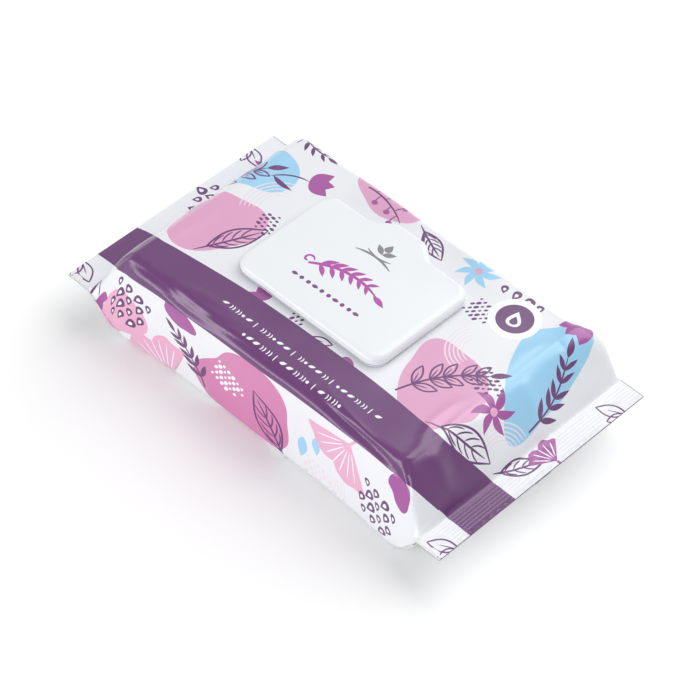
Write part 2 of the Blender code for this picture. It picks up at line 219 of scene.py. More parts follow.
# The photograph's view, in degrees and metres
VIEW_AZIMUTH = 44.163
VIEW_ELEVATION = 47.524
VIEW_ROLL = 0.8475
VIEW_DISTANCE = 1.25095
VIEW_TARGET = (0.006131, -0.006714, 0.023)
VIEW_LENS = 149.86
SENSOR = 36.0


def smooth_max(a, b, width):
    blend = np.maximum(width - np.abs(a - b), 0.0) / width
    return np.maximum(a, b) + blend * blend * width / 4


def smooth_min(a, b, width):
    return -smooth_max(-a, -b, width)


def smooth_step(value, low, high):
    t = np.clip((value - low) / (high - low), 0.0, 1.0)
    return t * t * (3 - 2 * t)


def mix(a, b, share):
    return a + (b - a) * share


def end_share(x):
    """0 over the flat top, 1 where the end seal starts."""
    return np.clip((np.abs(x) - TOP_END) / END_RUN, 0.0, 1.0)


def fillet_width(across):
    """The sloping end meets the seal in a hollow that is rounder in the middle."""
    return FILLET * (1.0 + np.clip(1.0 - (across / HALF_SEAL) ** 2, 0.0, 1.0))


def film_top(x, y):
    share = end_share(x)
    drop = (BODY_TOP - SEAL_HEIGHT - SEAL_HALF) / END_RUN
    z = BODY_TOP - (np.abs(x) - TOP_END) * drop + END_BULGE * 4 * share * (1 - share)
    z = smooth_min(BODY_TOP, z, SHOULDER_ROUNDING)
    wave = 0.5 + 0.5 * np.cos(2 * math.pi * y / CREASE_PITCH)
    z = z - CREASE_HEIGHT * wave * 4 * share * (1 - share)
    return smooth_max(z, SEAL_HEIGHT + SEAL_HALF, fillet_width(y))


def film_bottom(x, y):
    share = end_share(x)
    climb = (SEAL_HEIGHT - SEAL_HALF) / (SEAL_START - BOTTOM_END)
    z = (np.abs(x) - BOTTOM_END) * climb - END_BULGE * 4 * share * (1 - share)
    z = smooth_max(0.0, z, SHOULDER_ROUNDING)
    return smooth_min(z, SEAL_HEIGHT - SEAL_HALF, fillet_width(y))


def side_swell(x, z, side):
    """How far the soft side wall stands out between its two long edges."""
    share = np.clip(z / BODY_TOP, 0.0, 1.0)
    wave = 0.5 + 0.5 * np.cos(2 * math.pi * x / SWELL_PITCH + side)
    swell = SIDE_SWELL * np.sin(math.pi * share) * wave
    from_end = (np.abs(x) - TOP_END) / EAR_REACH
    ear = EAR_SWELL * np.exp(-from_end * from_end) * np.sin(math.pi * share**0.55)
    return (swell + ear) * (1.0 - end_share(x))


def rounded_length(leg, start, end):
    """Length of a rounded corner between two points, each a leg away from the corner."""
    chord = np.hypot(end[0] - start[0], end[1] - start[1])
    return 2 * (chord + leg) / 3


def rounded_point(start, corner, end, share):
    a = (1 - share) ** 2
    b = 2 * share * (1 - share)
    c = share**2
    return (a * start[0] + b * corner[0] + c * end[0], a * start[1] + b * corner[1] + c * end[1])


class Section:
    """One side of the film's section at x: its corners, and how far across each lies.

    The top runs out to a rounded corner and down to the outer edge of the side. Towards
    the ends that edge climbs to the seal, and the film below it is tucked inwards.
    """

    def __init__(self, x, front):
        share = end_share(x)
        run = smooth_max(0.0, share, FLARE_SOFT)
        flare = np.where(front, CORNER_FLARE, HALF_SEAL - HALF_BODY)
        corner_y = np.minimum(HALF_BODY + flare * run, HALF_SEAL)
        self.top = film_top(x, corner_y)
        floor_z = film_bottom(x, corner_y)
        self.edge_y = np.minimum(mix(HALF_BODY + SIDE_LEAN, HALF_SEAL, run), HALF_SEAL)
        climb = np.where(x < 0, CLIMB_LEFT, CLIMB_RIGHT)
        self.edge_z = mix(EDGE_RADIUS, SEAL_HEIGHT + PLEAT_SEAL / 2, share**climb)
        late = mix(PLEAT_GAP, PLEAT_SEAL, (share - PLEAT_TURN) / (1 - PLEAT_TURN))
        early = mix(PLEAT_BODY, PLEAT_GAP, share / PLEAT_TURN)
        self.gap = np.where(share > PLEAT_TURN, late, early)
        # The upper side, from the corner down to the outer edge
        down = np.hypot(self.edge_y - corner_y, self.top - self.edge_z)
        soft = np.where(front, CORNER_SOFT, EDGE_RADIUS)
        leg = np.minimum(mix(EDGE_RADIUS, soft, run), 0.8 * down)
        self.corner = (corner_y, self.top)
        self.start = (corner_y - leg, self.top)
        lean_y = (self.edge_y - corner_y) / down
        lean_z = (self.edge_z - self.top) / down
        self.end = (corner_y + lean_y * leg, self.top + lean_z * leg)
        self.to_corner = self.start[0]
        self.to_side = self.to_corner + rounded_length(leg, self.start, self.end)
        self.to_edge = self.to_side + down - leg
        # The lower side, from below the outer edge round to the underside
        low_z = self.edge_z - self.gap
        foot = np.maximum(low_z - floor_z, 0.0001)
        low_y = self.edge_y - np.where(x > 0, PLEAT_INSET, 0.0) * 4 * share * (1 - share)
        self.low_start = (low_y, low_z)
        self.low_corner = (low_y, floor_z)
        self.low_end = (low_y - EDGE_RADIUS, floor_z)
        low_length = rounded_length((EDGE_RADIUS + foot) / 2, self.low_start, self.low_end)
        spare = HALF_GIRTH - self.to_edge - low_length - self.low_end[0] - self.gap
        self.tuck = smooth_max(0.0, spare / 2, 0.001)
        self.to_low = self.to_edge + self.gap + 2 * self.tuck
        self.to_floor = self.to_low + low_length


def section_point(x, across):
    """Y and Z of the film's section, for a distance across the film from the top's middle."""
    reach = np.abs(across)
    part = Section(x, across >= 0)

    def stretch(start, end):
        return reach > start, np.clip((reach - start) / (end - start), 0.0, 1.0)

    y = np.minimum(reach, part.to_corner)
    z = film_top(x, y)
    # Over the long edge and down the side to its outer edge
    on, here = stretch(part.to_corner, part.to_side)
    spot = rounded_point(part.start, part.corner, part.end, here)
    y = np.where(on, spot[0], y)
    crest = film_top(x, np.minimum(y, part.corner[0])) - part.top
    z = np.where(on, spot[1] + crest * (1 - here), z)
    on, here = stretch(part.to_side, part.to_edge)
    y = np.where(on, mix(part.end[0], part.edge_y, here), y)
    z = np.where(on, mix(part.end[1], part.edge_z, here), z)
    # Into the tuck and out again, then round to the underside
    on, here = stretch(part.to_edge, part.to_low)
    below_edge = mix(part.edge_y, part.low_start[0], here)
    y = np.where(on, below_edge - part.tuck * (1 - np.abs(1 - 2 * here)), y)
    z = np.where(on, part.edge_z - part.gap * here, z)
    on, here = stretch(part.to_low, part.to_floor)
    spot = rounded_point(part.low_start, part.low_corner, part.low_end, here)
    y = np.where(on, spot[0], y)
    z = np.where(on, spot[1], z)
    inward = reach > part.to_floor
    below = (reach - part.to_floor) / (HALF_GIRTH - part.to_floor)
    y = np.where(inward, part.low_end[0] * (1 - below), y)
    z = np.where(inward, film_bottom(x, y), z)
    wall = (reach > part.to_corner) & ~inward
    y = y + np.where(wall, side_swell(x, z, np.where(across >= 0, 0.0, BACK_PHASE)), 0.0)
    # The seam under the pack: both edges turn to the back and lie under the bottom
    seam = FIN_WIDTH / 2
    signed = np.where(across >= 0, -y, y)
    past = reach - HALF_GIRTH - np.where(across >= 0, seam, -seam)
    bed = FIN_RAISE * smooth_step(np.abs(signed), *FIN_BED) * inward
    signed = np.where(past > 0, seam - past, signed)
    turned = smooth_step(past, 0.0, FIN_TURN)
    layer = np.where(across >= 0, *FIN_LAYERS) * turned
    bed = np.where(past > 0, FIN_RAISE - (FIN_RAISE - layer) * turned, bed)
    z = np.where(inward, z + bed * (1.0 - 0.8 * end_share(x)), z)
    return signed, z


def slope_table():
    """Places along X and how far along the film each lies, down the sloping ends."""
    x = np.linspace(0.0, HALF_PACK, 1200)
    z = film_top(x, MEASURE_Y)
    along = np.concatenate([[0.0], np.cumsum(np.hypot(np.diff(x), np.diff(z)))])
    return x, along


TABLE_X, TABLE_ALONG = slope_table()
HALF_SHEET = float(TABLE_ALONG[-1])
SHOULDER_ALONG = float(np.interp(TOP_END, TABLE_X, TABLE_ALONG))
SEAL_ALONG = float(np.interp(SEAL_START, TABLE_X, TABLE_ALONG))


def x_of(along):
    return np.sign(along) * np.interp(np.abs(along), TABLE_ALONG, TABLE_X)


def along_of(x):
    return np.sign(x) * np.interp(np.abs(x), TABLE_X, TABLE_ALONG)


def film_base(along, across):
    x = x_of(along)
    return np.stack([x, *section_point(x, across)], -1)


def film_normal(place, along, across, step=0.00025):
    """Outward normals of a surface over the flat film."""
    east = place(along + step, across) - place(along - step, across)
    front = place(along, across + step) - place(along, across - step)
    normal = np.cross(front, east)
    length = np.linalg.norm(normal, axis=-1, keepdims=True)
    return normal / np.maximum(length, 1e-12)


# Soft folds of the film: points (x, across) in mm, height in mm, half width in mm
FOLDS = [
    # The ridge along the top's front edge, left, and the hollow below it
    ([(-57, 49.5), (-50, 48), (-42, 46), (-33, 44), (-24, 42)], 0.65, 2.6),
    ([(-68, 50), (-58, 51.5), (-50, 53), (-42, 53.5), (-33, 52.5), (-22, 49.5), (-12, 47)], -0.7, 2.2),
    # The same along the right half
    ([(31, 46), (37, 47.6), (44, 48.6), (53, 50.2), (62, 51.6), (70, 52), (77, 52)], 0.5, 1.3),
    ([(24, 50.5), (32, 51.6), (40, 52.6), (56, 54.3), (68, 55), (75, 55.4)], -0.8, 1.6),
    # The rounded corner at the front right, and what runs out from it
    ([(80, 48), (80.5, 43), (78, 37), (75.5, 31), (74.5, 24), (75, 16), (77, 8)], 0.35, 1.9),
    ([(82.5, 41), (80.5, 34), (79, 26), (78.5, 18)], -0.35, 2.2),
    ([(77.5, 52.6), (80, 51), (82, 47.5)], 0.5, 1.4),
    ([(81, 50), (83.5, 52), (86, 53.6), (90, 55.6)], -0.55, 1.3),
    ([(84, 41), (87, 40), (90, 39.4), (93, 40), (95, 42)], 0.75, 3.4),
    ([(84, 31), (88, 31), (92, 32), (95, 33)], -0.4, 3.0),
    ([(83, 12), (88, 13), (94, 12)], 0.4, 3.4),
    ([(83, -14), (89, -15), (95, -14)], 0.45, 3.2),
    ([(83, -40), (89, -41), (94, -43)], 0.55, 3.0),
    ([(85, -40), (86.5, -50), (87.5, -60), (88, -72)], 3.8, 6.5),
    ([(78, -38), (76, -30), (76, -20), (78, -10)], 0.3, 2.2),
    # The left end
    ([(-78, 34), (-76.5, 24), (-76, 12), (-77.5, 2)], 0.28, 2.4),
    ([(-79, -6), (-77, -16), (-77, -28), (-79, -40)], 0.3, 2.4),
    ([(-83, 30), (-89, 31), (-95, 30)], -0.4, 3.2),
    ([(-83, 8), (-90, 7), (-96, 8)], 0.45, 3.6),
    ([(-83, -22), (-89, -23), (-95, -22)], 0.45, 3.2),
    ([(-79, -48), (-82, -50), (-86, -53), (-91, -56)], -0.5, 1.6),
    ([(-80, 50), (-83, 51.5), (-87, 54), (-91, 56.5)], -0.5, 1.5),
    # Long soft folds down the side walls
    ([(-30, 66), (-36, 78), (-40, 92)], 0.35, 5.0),
    ([(22, 68), (28, 82), (30, 96)], 0.3, 5.5),
    ([(62, 64), (66, 76), (74, 90)], -0.4, 4.0),
    ([(-66, 64), (-70, 76), (-77, 90)], -0.4, 4.0),
    ([(40, -62), (45, -76), (46, -92)], 0.4, 5.0),
    ([(-20, -60), (-22, -76), (-27, -94)], 0.4, 5.0),
    ([(-64, -60), (-69, -74), (-76, -90)], -0.5, 4.0),
    ([(64, -60), (69, -74), (76, -90)], -0.5, 4.0),
    ([(-50, -50.5), (-30, -51.5), (-5, -50.6)], 0.45, 2.2),
    ([(10, -51), (34, -50), (58, -51.5)], 0.4, 2.4),
]
# Where the front wall starts below the ledge that runs under the top's front edge, in mm:
# x and across
LEDGE = (
    (-90, 61), (-86, 60), (-82, 57.5), (-77, 56), (-68, 55.5), (-59, 56), (-51, 57.6), (-44, 58),
    (-33, 57.4), (-22, 56), (-5, 55), (17, 54.8), (38, 55.4), (48, 55.8), (59, 56), (67, 56.8),
    (74, 57.6), (79, 58.6), (83, 60.5), (88, 62),
)
LEDGE_DEPTH = 0.0018
LEDGE_RUN = 0.0026
LEDGE_FADE = 0.016
LEDGE_ENDS = (0.088, 0.070)  # along X: where the ledge starts, and is full

# The long edges of the printed band, in mm: nearly straight along the body, nearer the
# middle on the seals
BAND_TOP = (
    (-127.9, 22.2), (-121, 20.4), (-115, 20), (-108.6, 22.6), (-99.4, 27.6), (-90, 32.9),
    (-84, 36), (-79, 36.6), (-70, 35.2), (-50, 32.9), (-30, 31.1), (0, 30), (30, 29.8),
    (50, 30), (70, 31.3), (80, 31.7), (85, 31), (93, 27.2), (102, 23), (111.6, 18.6),
    (116, 17.5), (127.9, 17.6),
)
BAND_FRONT = (
    (-127.9, 45.5), (-115, 45.2), (-108.6, 48), (-102, 50), (-93, 54), (-85, 59),
    (-80, 60.4), (-70, 59.6), (-50, 58.8), (-20, 58), (20, 57.4), (50, 56.8), (70, 57.4),
    (79, 58.3), (85, 57), (93, 52.5), (102, 49.2), (108.6, 47), (114.7, 44.7), (127.9, 44.8),
)


def smooth_path(points, steps):
    """A Catmull-Rom curve through points, as complex numbers."""
    spots = [complex(a, b) for a, b in points]
    ends = [2 * spots[0] - spots[1], *spots, 2 * spots[-1] - spots[-2]]
    path = []
    for a, b, c, d in zip(ends, ends[1:], ends[2:], ends[3:]):
        for step in range(steps):
            t = step / steps
            curve = 2 * b + (c - a) * t + (2 * a - 5 * b + 4 * c - d) * t**2
            path.append((curve + (3 * b - a - 3 * c + d) * t**3) / 2)
    return np.array([*path, spots[-1]])


def ridge_height(x, across, points, height, width):
    """A soft ridge along a curve, which fades out towards both of its ends."""
    path = smooth_path(points, 4) * MM
    margin = 3.2 * width * MM
    near = (x > path.real.min() - margin) & (x < path.real.max() + margin)
    near &= (across > path.imag.min() - margin) & (across < path.imag.max() + margin)
    result = np.zeros_like(x)
    if not near.any():
        return result
    here = x[near] + 1j * across[near]
    best = np.full(here.shape, 1e9)
    place = np.zeros(here.shape)
    travelled = 0.0
    for start, end in zip(path, path[1:]):
        run = end - start
        t = np.clip(((here - start) * np.conj(run)).real / abs(run) ** 2, 0.0, 1.0)
        gap = np.abs(here - start - run * t)
        place = np.where(gap < best, travelled + t * abs(run), place)
        best = np.minimum(gap, best)
        travelled += abs(run)
    ends = np.sin(math.pi * np.clip(place / travelled, 0.02, 0.98)) ** 0.7
    result[near] = height * MM * ends * np.exp(-((best / (width * MM)) ** 2))
    return result


def soft_noise(x, across):
    """Long, shallow waves of the film: rates along and across, phase and size of each."""
    waves = (
        (31.0, 17.0, 0.3, 0.34),
        (-47.0, 29.0, 1.7, 0.26),
        (73.0, 61.0, 4.1, 0.16),
        (-19.0, 88.0, 2.6, 0.20),
        (120.0, -54.0, 0.9, 0.09),
        (96.0, 133.0, 5.2, 0.07),
    )
    turn = 2 * math.pi * 0.35
    return sum(size * np.sin(turn * (x * a + across * b) + phase) for a, b, phase, size in waves)


def lid_clearance(x, across):
    """0 where the frame is glued on, 1 away from the lid."""
    half_y = (LID_WIDTH + HUMP_DEPTH) / 2
    dx = np.abs(x - LID_X) - LID_LENGTH / 2
    dy = np.abs(-across - LID_Y - HUMP_DEPTH / 2) - half_y
    away = np.where((dx > 0) & (dy > 0), np.hypot(dx, dy), np.maximum(dx, dy))
    return smooth_step(away, *GLUE_FADE)


def film_relief(along, across):
    """How far the film stands out of its plain section, in metres."""
    x = x_of(along)
    in_seal = smooth_step(np.abs(x), SEAL_START - SEAL_FADE, SEAL_START)
    on_floor = smooth_step(np.abs(across) - HALF_GIRTH + HALF_BODY, *FLOOR_FADE)
    waves = WAVE_HEIGHT * soft_noise(x, across) * lid_clearance(x, across)
    height = waves * (1 - in_seal) * (1 - on_floor)
    for points, size, width in FOLDS:
        height = height + ridge_height(x, across, points, size, width) * (1 - in_seal)
    below = across - np.interp(x / MM, *zip(*LEDGE)) * MM
    step = smooth_step(below, -LEDGE_RUN, LEDGE_RUN * 0.4)
    fade = np.exp(-(np.maximum(below, 0.0) / LEDGE_FADE) ** 2)
    height = height + LEDGE_DEPTH * step * fade * smooth_step(np.abs(x), *LEDGE_ENDS)
    return height * (np.abs(across) < HALF_GIRTH - SEAM_MARGIN)


def film_ribs(along, across):
    """The crimp's pressed ribs: both layers rise and sink together."""
    past = np.abs(x_of(along)) - SEAL_START
    share = smooth_step(past, *RIB_START)
    tucked = (np.abs(across) > HALF_SEAL) & (np.abs(across) < HALF_SEAL + 2 * TUCK)
    wave = np.cos(2 * math.pi * past / SEAL_DEPTH * SEAL_RIBS)
    return np.where(tucked, 0.0, RIB_HEIGHT) * wave * share


def film_point(along, across):
    base = film_base(along, across)
    normal = film_normal(film_base, along, across)
    point = base + normal * film_relief(along, across)[:, None]
    point[:, 2] += film_ribs(along, across)
    return point


# Print outlines, as complex numbers in mm: along + across * i


def full_turn(steps):
    return np.linspace(0, 2 * math.pi, steps, endpoint=False)


def ellipse(rx, ry, steps=28):
    turn = full_turn(steps)
    return rx * np.cos(turn) + 1j * ry * np.sin(turn)


def drop_shape(steps=30, sharpness=1.4):
    turn = full_turn(steps)
    return np.cos(turn) + 1j * np.sin(turn) * np.sin(turn / 2) ** sharpness


def blob(rx, ry, seed, steps=80):
    """A soft, uneven round field."""
    turn = full_turn(steps)
    radius = 1 + 0.11 * np.cos(2 * turn + seed) + 0.09 * np.cos(3 * turn + 2.3 * seed)
    return (radius + 0.035 * np.cos(5 * turn - seed)) * ellipse(rx, ry, steps)


def leaf_shape(length, width, bend=0.0):
    """A pointed oval from the origin along the real axis."""
    t = np.linspace(0, 1, 11)
    half = width / 2 * np.sin(math.pi * t**0.85)
    spine = length * t + 1j * length * bend * t * (1 - t)
    return np.concatenate([spine + 1j * half, (spine - 1j * half)[::-1][1:-1]])


def put(shape, spot, angle=0.0, size=1.0):
    return np.asarray(shape) * size * np.exp(1j * math.radians(angle)) + spot


def stroke(path, width, start=0.35, end=0.35):
    """A line drawn with a pen: full width in its middle, thinner at its ends."""
    path = np.asarray(path)
    run = np.gradient(path)
    side = 1j * run / np.maximum(np.abs(run), 1e-9)
    share = np.linspace(0, 1, len(path))
    swell = np.minimum(np.minimum(start + 3 * share, end + 3 * (1 - share)), 1.0)
    offset = side * width / 2 * swell
    return np.concatenate([path + offset, (path - offset)[::-1]])


def bow(start, end, rise, steps=14):
    """An arc-like curve from start to end, bowed to its left."""
    t = np.linspace(0, 1, steps)
    run = end - start
    return start + run * t + 1j * run * rise * 4 * t * (1 - t)


class Print:
    """Collects the printed fields, later ones over earlier ones.

    Each motif is drawn from the origin along the real axis, then put at a spot and an angle.
    """

    def __init__(self):
        self.fields = []

    def add(self, ink, loop, spot=0j, angle=0.0, size=1.0):
        loop = put(loop, spot, angle, size)
        turning = (np.conj(loop) * np.roll(loop, -1)).imag.sum()
        self.fields.append((ink, loop if turning > 0 else loop[::-1]))

    def dots(self, spot, angle, rows, ink="purple", size=(0.62, 1.05), pitch=2.6):
        """A wedge of small strokes, in rows that get shorter."""
        for row in range(rows):
            for item in range(rows + 1 - row // 2):
                place = complex(item * pitch + (row % 2) * pitch / 2, row * pitch * 0.9)
                grow = 0.75 + 0.5 * ((item * 5 + row * 3) % 4) / 3
                dot = ellipse(size[0] * grow, size[1] * grow, 9)
                self.add(ink, put(dot, place, 20), spot, angle)

    def open_drops(self, inside, spot, angle, rows, pitch=6.2):
        """A drift of small open drops."""
        drop = drop_shape(14, 1.2)
        for row in range(rows):
            for item in range(4 - row % 2):
                place = complex(item * pitch + (row % 2) * pitch * 0.5, row * pitch * 0.86)
                grow = 1.9 + 0.7 * ((item * 7 + row * 5) % 3) / 2
                lean = 70 + 25 * ((item + 2 * row) % 3)
                for ink, share in (("purple", 1.25), (inside, 0.52)):
                    self.add(ink, put(drop, place, lean, grow * share), spot, angle)

    def tulip(self, spot, angle, size, stem=0):
        """A cup of three pointed petals, on a stem with a leaf where it has one."""
        if stem:
            path = bow(0j, complex(-stem, 1.5), 0.12)
            self.add("purple", stroke(path, 0.9), spot, angle)
            leaf = leaf_shape(stem * 0.75, 2.6, 0.25)
            self.add("purple", put(leaf, complex(-stem * 0.95, 1.0), 32), spot, angle)
        for lean in (34, -34, 0):
            self.add("magenta", leaf_shape(1.25, 0.72), spot, angle + lean, size)

    def outline(self, spot, angle, length, half, line, start, end):
        """Both edges of a leaf, half its width apart from its middle line."""
        spine = length * np.linspace(0, 1, len(half))
        for sign in (-1, 1):
            self.add("purple", stroke(spine + 1j * sign * half, line, start, end), spot, angle)

    def drawn_leaf(self, spot, angle, length, width, veins=4, line=1.0):
        """A leaf in outline, with its midrib and side veins."""
        t = np.linspace(0, 1, 18)
        half = width / 2 * np.sin(math.pi * t) * (1.15 - 0.3 * t)
        self.outline(spot, angle, length, half, line, 0.8, 0.5)
        midrib = bow(complex(-length * 0.22, 0), length * 0.86 + 0j, 0.015)
        self.add("purple", stroke(midrib, line), spot, angle)
        for vein in range(veins):
            start = length * (0.10 + 0.6 * vein / veins)
            tip_at = min(start + length * 0.22, length * 0.93)
            reach = width / 2 * math.sin(math.pi * tip_at / length) * 0.78
            for sign in (-1, 1):
                path = bow(complex(start, 0), complex(tip_at, sign * reach), 0.10 * sign, 7)
                self.add("purple", stroke(path, line * 0.75), spot, angle)

    def leaf_line(self, spot, angle, length, width, line=0.8):
        """A small leaf drawn as an outline with half a midrib."""
        half = width / 2 * np.sin(math.pi * np.linspace(0, 1, 9))
        self.outline(spot, angle, length, half, line, 0.7, 0.7)
        rib = np.linspace(0, 0.62, 4) * length + 0j
        self.add("purple", stroke(rib, line * 0.7), spot, angle)

    def fern(self, spot, angle, length, pairs, leaf, curl=0.1, drawn=False):
        """A bowed stem with narrow leaves on both sides and one at its tip."""
        stem = bow(0j, length + 0j, curl, 22)
        self.add("purple", stroke(stem, 1.0, 1.0, 0.4), spot, angle)
        for pair in range(pairs):
            share = 0.22 + 0.66 * pair / max(pairs - 1, 1)
            index = int(share * (len(stem) - 1))
            foot = stem[index]
            heading = math.degrees(np.angle(stem[index + 1] - stem[index - 1]))
            grow = leaf * (1.0 - 0.35 * share)
            for sign in (-1, 1):
                lean = heading + sign * (46 - 12 * share)
                if drawn:
                    self.leaf_line(put(foot, spot, angle), angle + lean, grow, grow * 0.36, 0.85)
                else:
                    shape = leaf_shape(grow, grow * 0.30, 0.08 * sign)
                    self.add("purple", put(shape, foot, lean), spot, angle)
        tip = leaf_shape(leaf * 0.8, leaf * 0.26)
        self.add("purple", put(tip, stem[-1], -curl * 120), spot, angle)

    def fan(self, ink, spot, angle, radius, rays=7):
        """A fan-shaped leaf with a notch in its edge, fine white rays and a stalk."""
        spread = math.radians(104)
        turn = np.linspace(-spread / 2, spread / 2, 31)
        notch = 1.0 - 0.20 * np.exp(-((turn / 0.13) ** 2)) + 0.025 * np.cos(turn * 15)
        edge = radius * notch * np.exp(1j * turn)
        self.add(ink, np.concatenate([[0j], edge]), spot, angle)
        for lean in np.linspace(-0.5, 0.5, rays) * spread * 0.74:
            path = np.linspace(0.22, 0.86, 6) * radius * np.exp(1j * lean)
            self.add("white", stroke(path, 0.55), spot, angle)
        stalk = bow(0j, complex(-radius * 0.55, radius * 0.06), 0.10, 10)
        self.add(ink, stroke(stalk, 1.3, 1.0, 0.7), spot, angle)

    def berries(self, spot, angle, length, count=6):
        """A twig with round berries on short stalks."""
        stem = bow(0j, length + 0j, -0.09, 18)
        self.add("purple", stroke(stem, 0.75, 1.0, 0.4), spot, angle)
        for item in range(count):
            foot = stem[3 + int(14 * item / count)]
            sign = 1 if item % 2 else -1
            place = foot + complex(1.6, sign * (3.6 + 0.9 * (item % 3)))
            self.add("purple", stroke(bow(foot, place, 0.12 * sign, 6), 0.55), spot, angle)
            self.add("magenta", put(ellipse(1.55, 1.4, 16), place), spot, angle)

    def pinwheel(self, ink, core, spot, angle, radius, blades):
        """Slim teardrops that turn round a small core."""
        for blade in range(blades):
            shape = leaf_shape(radius, radius * 0.34, 0.45)
            self.add(ink, shape, spot, angle + 360 * blade / blades)
        self.add(core, ellipse(radius * 0.17, radius * 0.17, 14), spot)

    def arcs(self, spot, angle, radius, count=4):
        """Concentric thin arcs."""
        for item in range(count):
            turn = np.radians(np.linspace(-55, 55, 14 + 3 * item))
            path = radius * (0.4 + 0.6 * (item + 1) / count) * np.exp(1j * turn)
            self.add("blush", stroke(path, 0.6, 0.6, 0.6), spot, angle)

    def ornament_row(self, place, count):
        """White dots, dashes and little leaves in a row along the band."""
        bar = stroke(np.linspace(-1.7, 1.7, 5) * 1j, 0.5)
        tick = stroke(bow(0j, -2.4j, 0.22, 7), 0.55)
        for item in range(count):
            kind = (item * 7 + count) % 5
            if item % 6 == 5:
                self.add("white", bar, place + 1.6)
                place += 4.6
            elif kind in (0, 3):
                self.add("white", leaf_shape(3.4, 1.5, 0.1), place + 0.4j, -24)
                place += 3.9
            elif kind == 1:
                self.add("white", ellipse(0.75, 0.75, 12), place + 0.8)
                place += 2.7
            else:
                for step in (0, 1.5):
                    self.add("white", tick, place + 0.7 + 1.1j + step)
                place += 3.7


def garden(art, shift):
    """One repeat of the design on the back wall."""
    art.add("pink", blob(22, 15, 0.6), shift - 30 + 8j, 24)
    art.add("blue", blob(20, 14, 2.2), shift + 14 - 13j, -16)
    art.arcs(shift - 6 + 22j, 60, 15)
    art.fern(shift - 44 + 20j, -38, 31, 5, 9.5)
    art.drawn_leaf(shift + 2 - 2j, -52, 21, 8.5)
    art.tulip(shift - 8 - 22j, -70, 6.4, 12)
    art.fan("light_pink", shift + 30 + 16j, 210, 15)
    art.dots(shift - 22 + 22j, 8, 5)
    art.berries(shift + 22 - 2j, 70, 20)


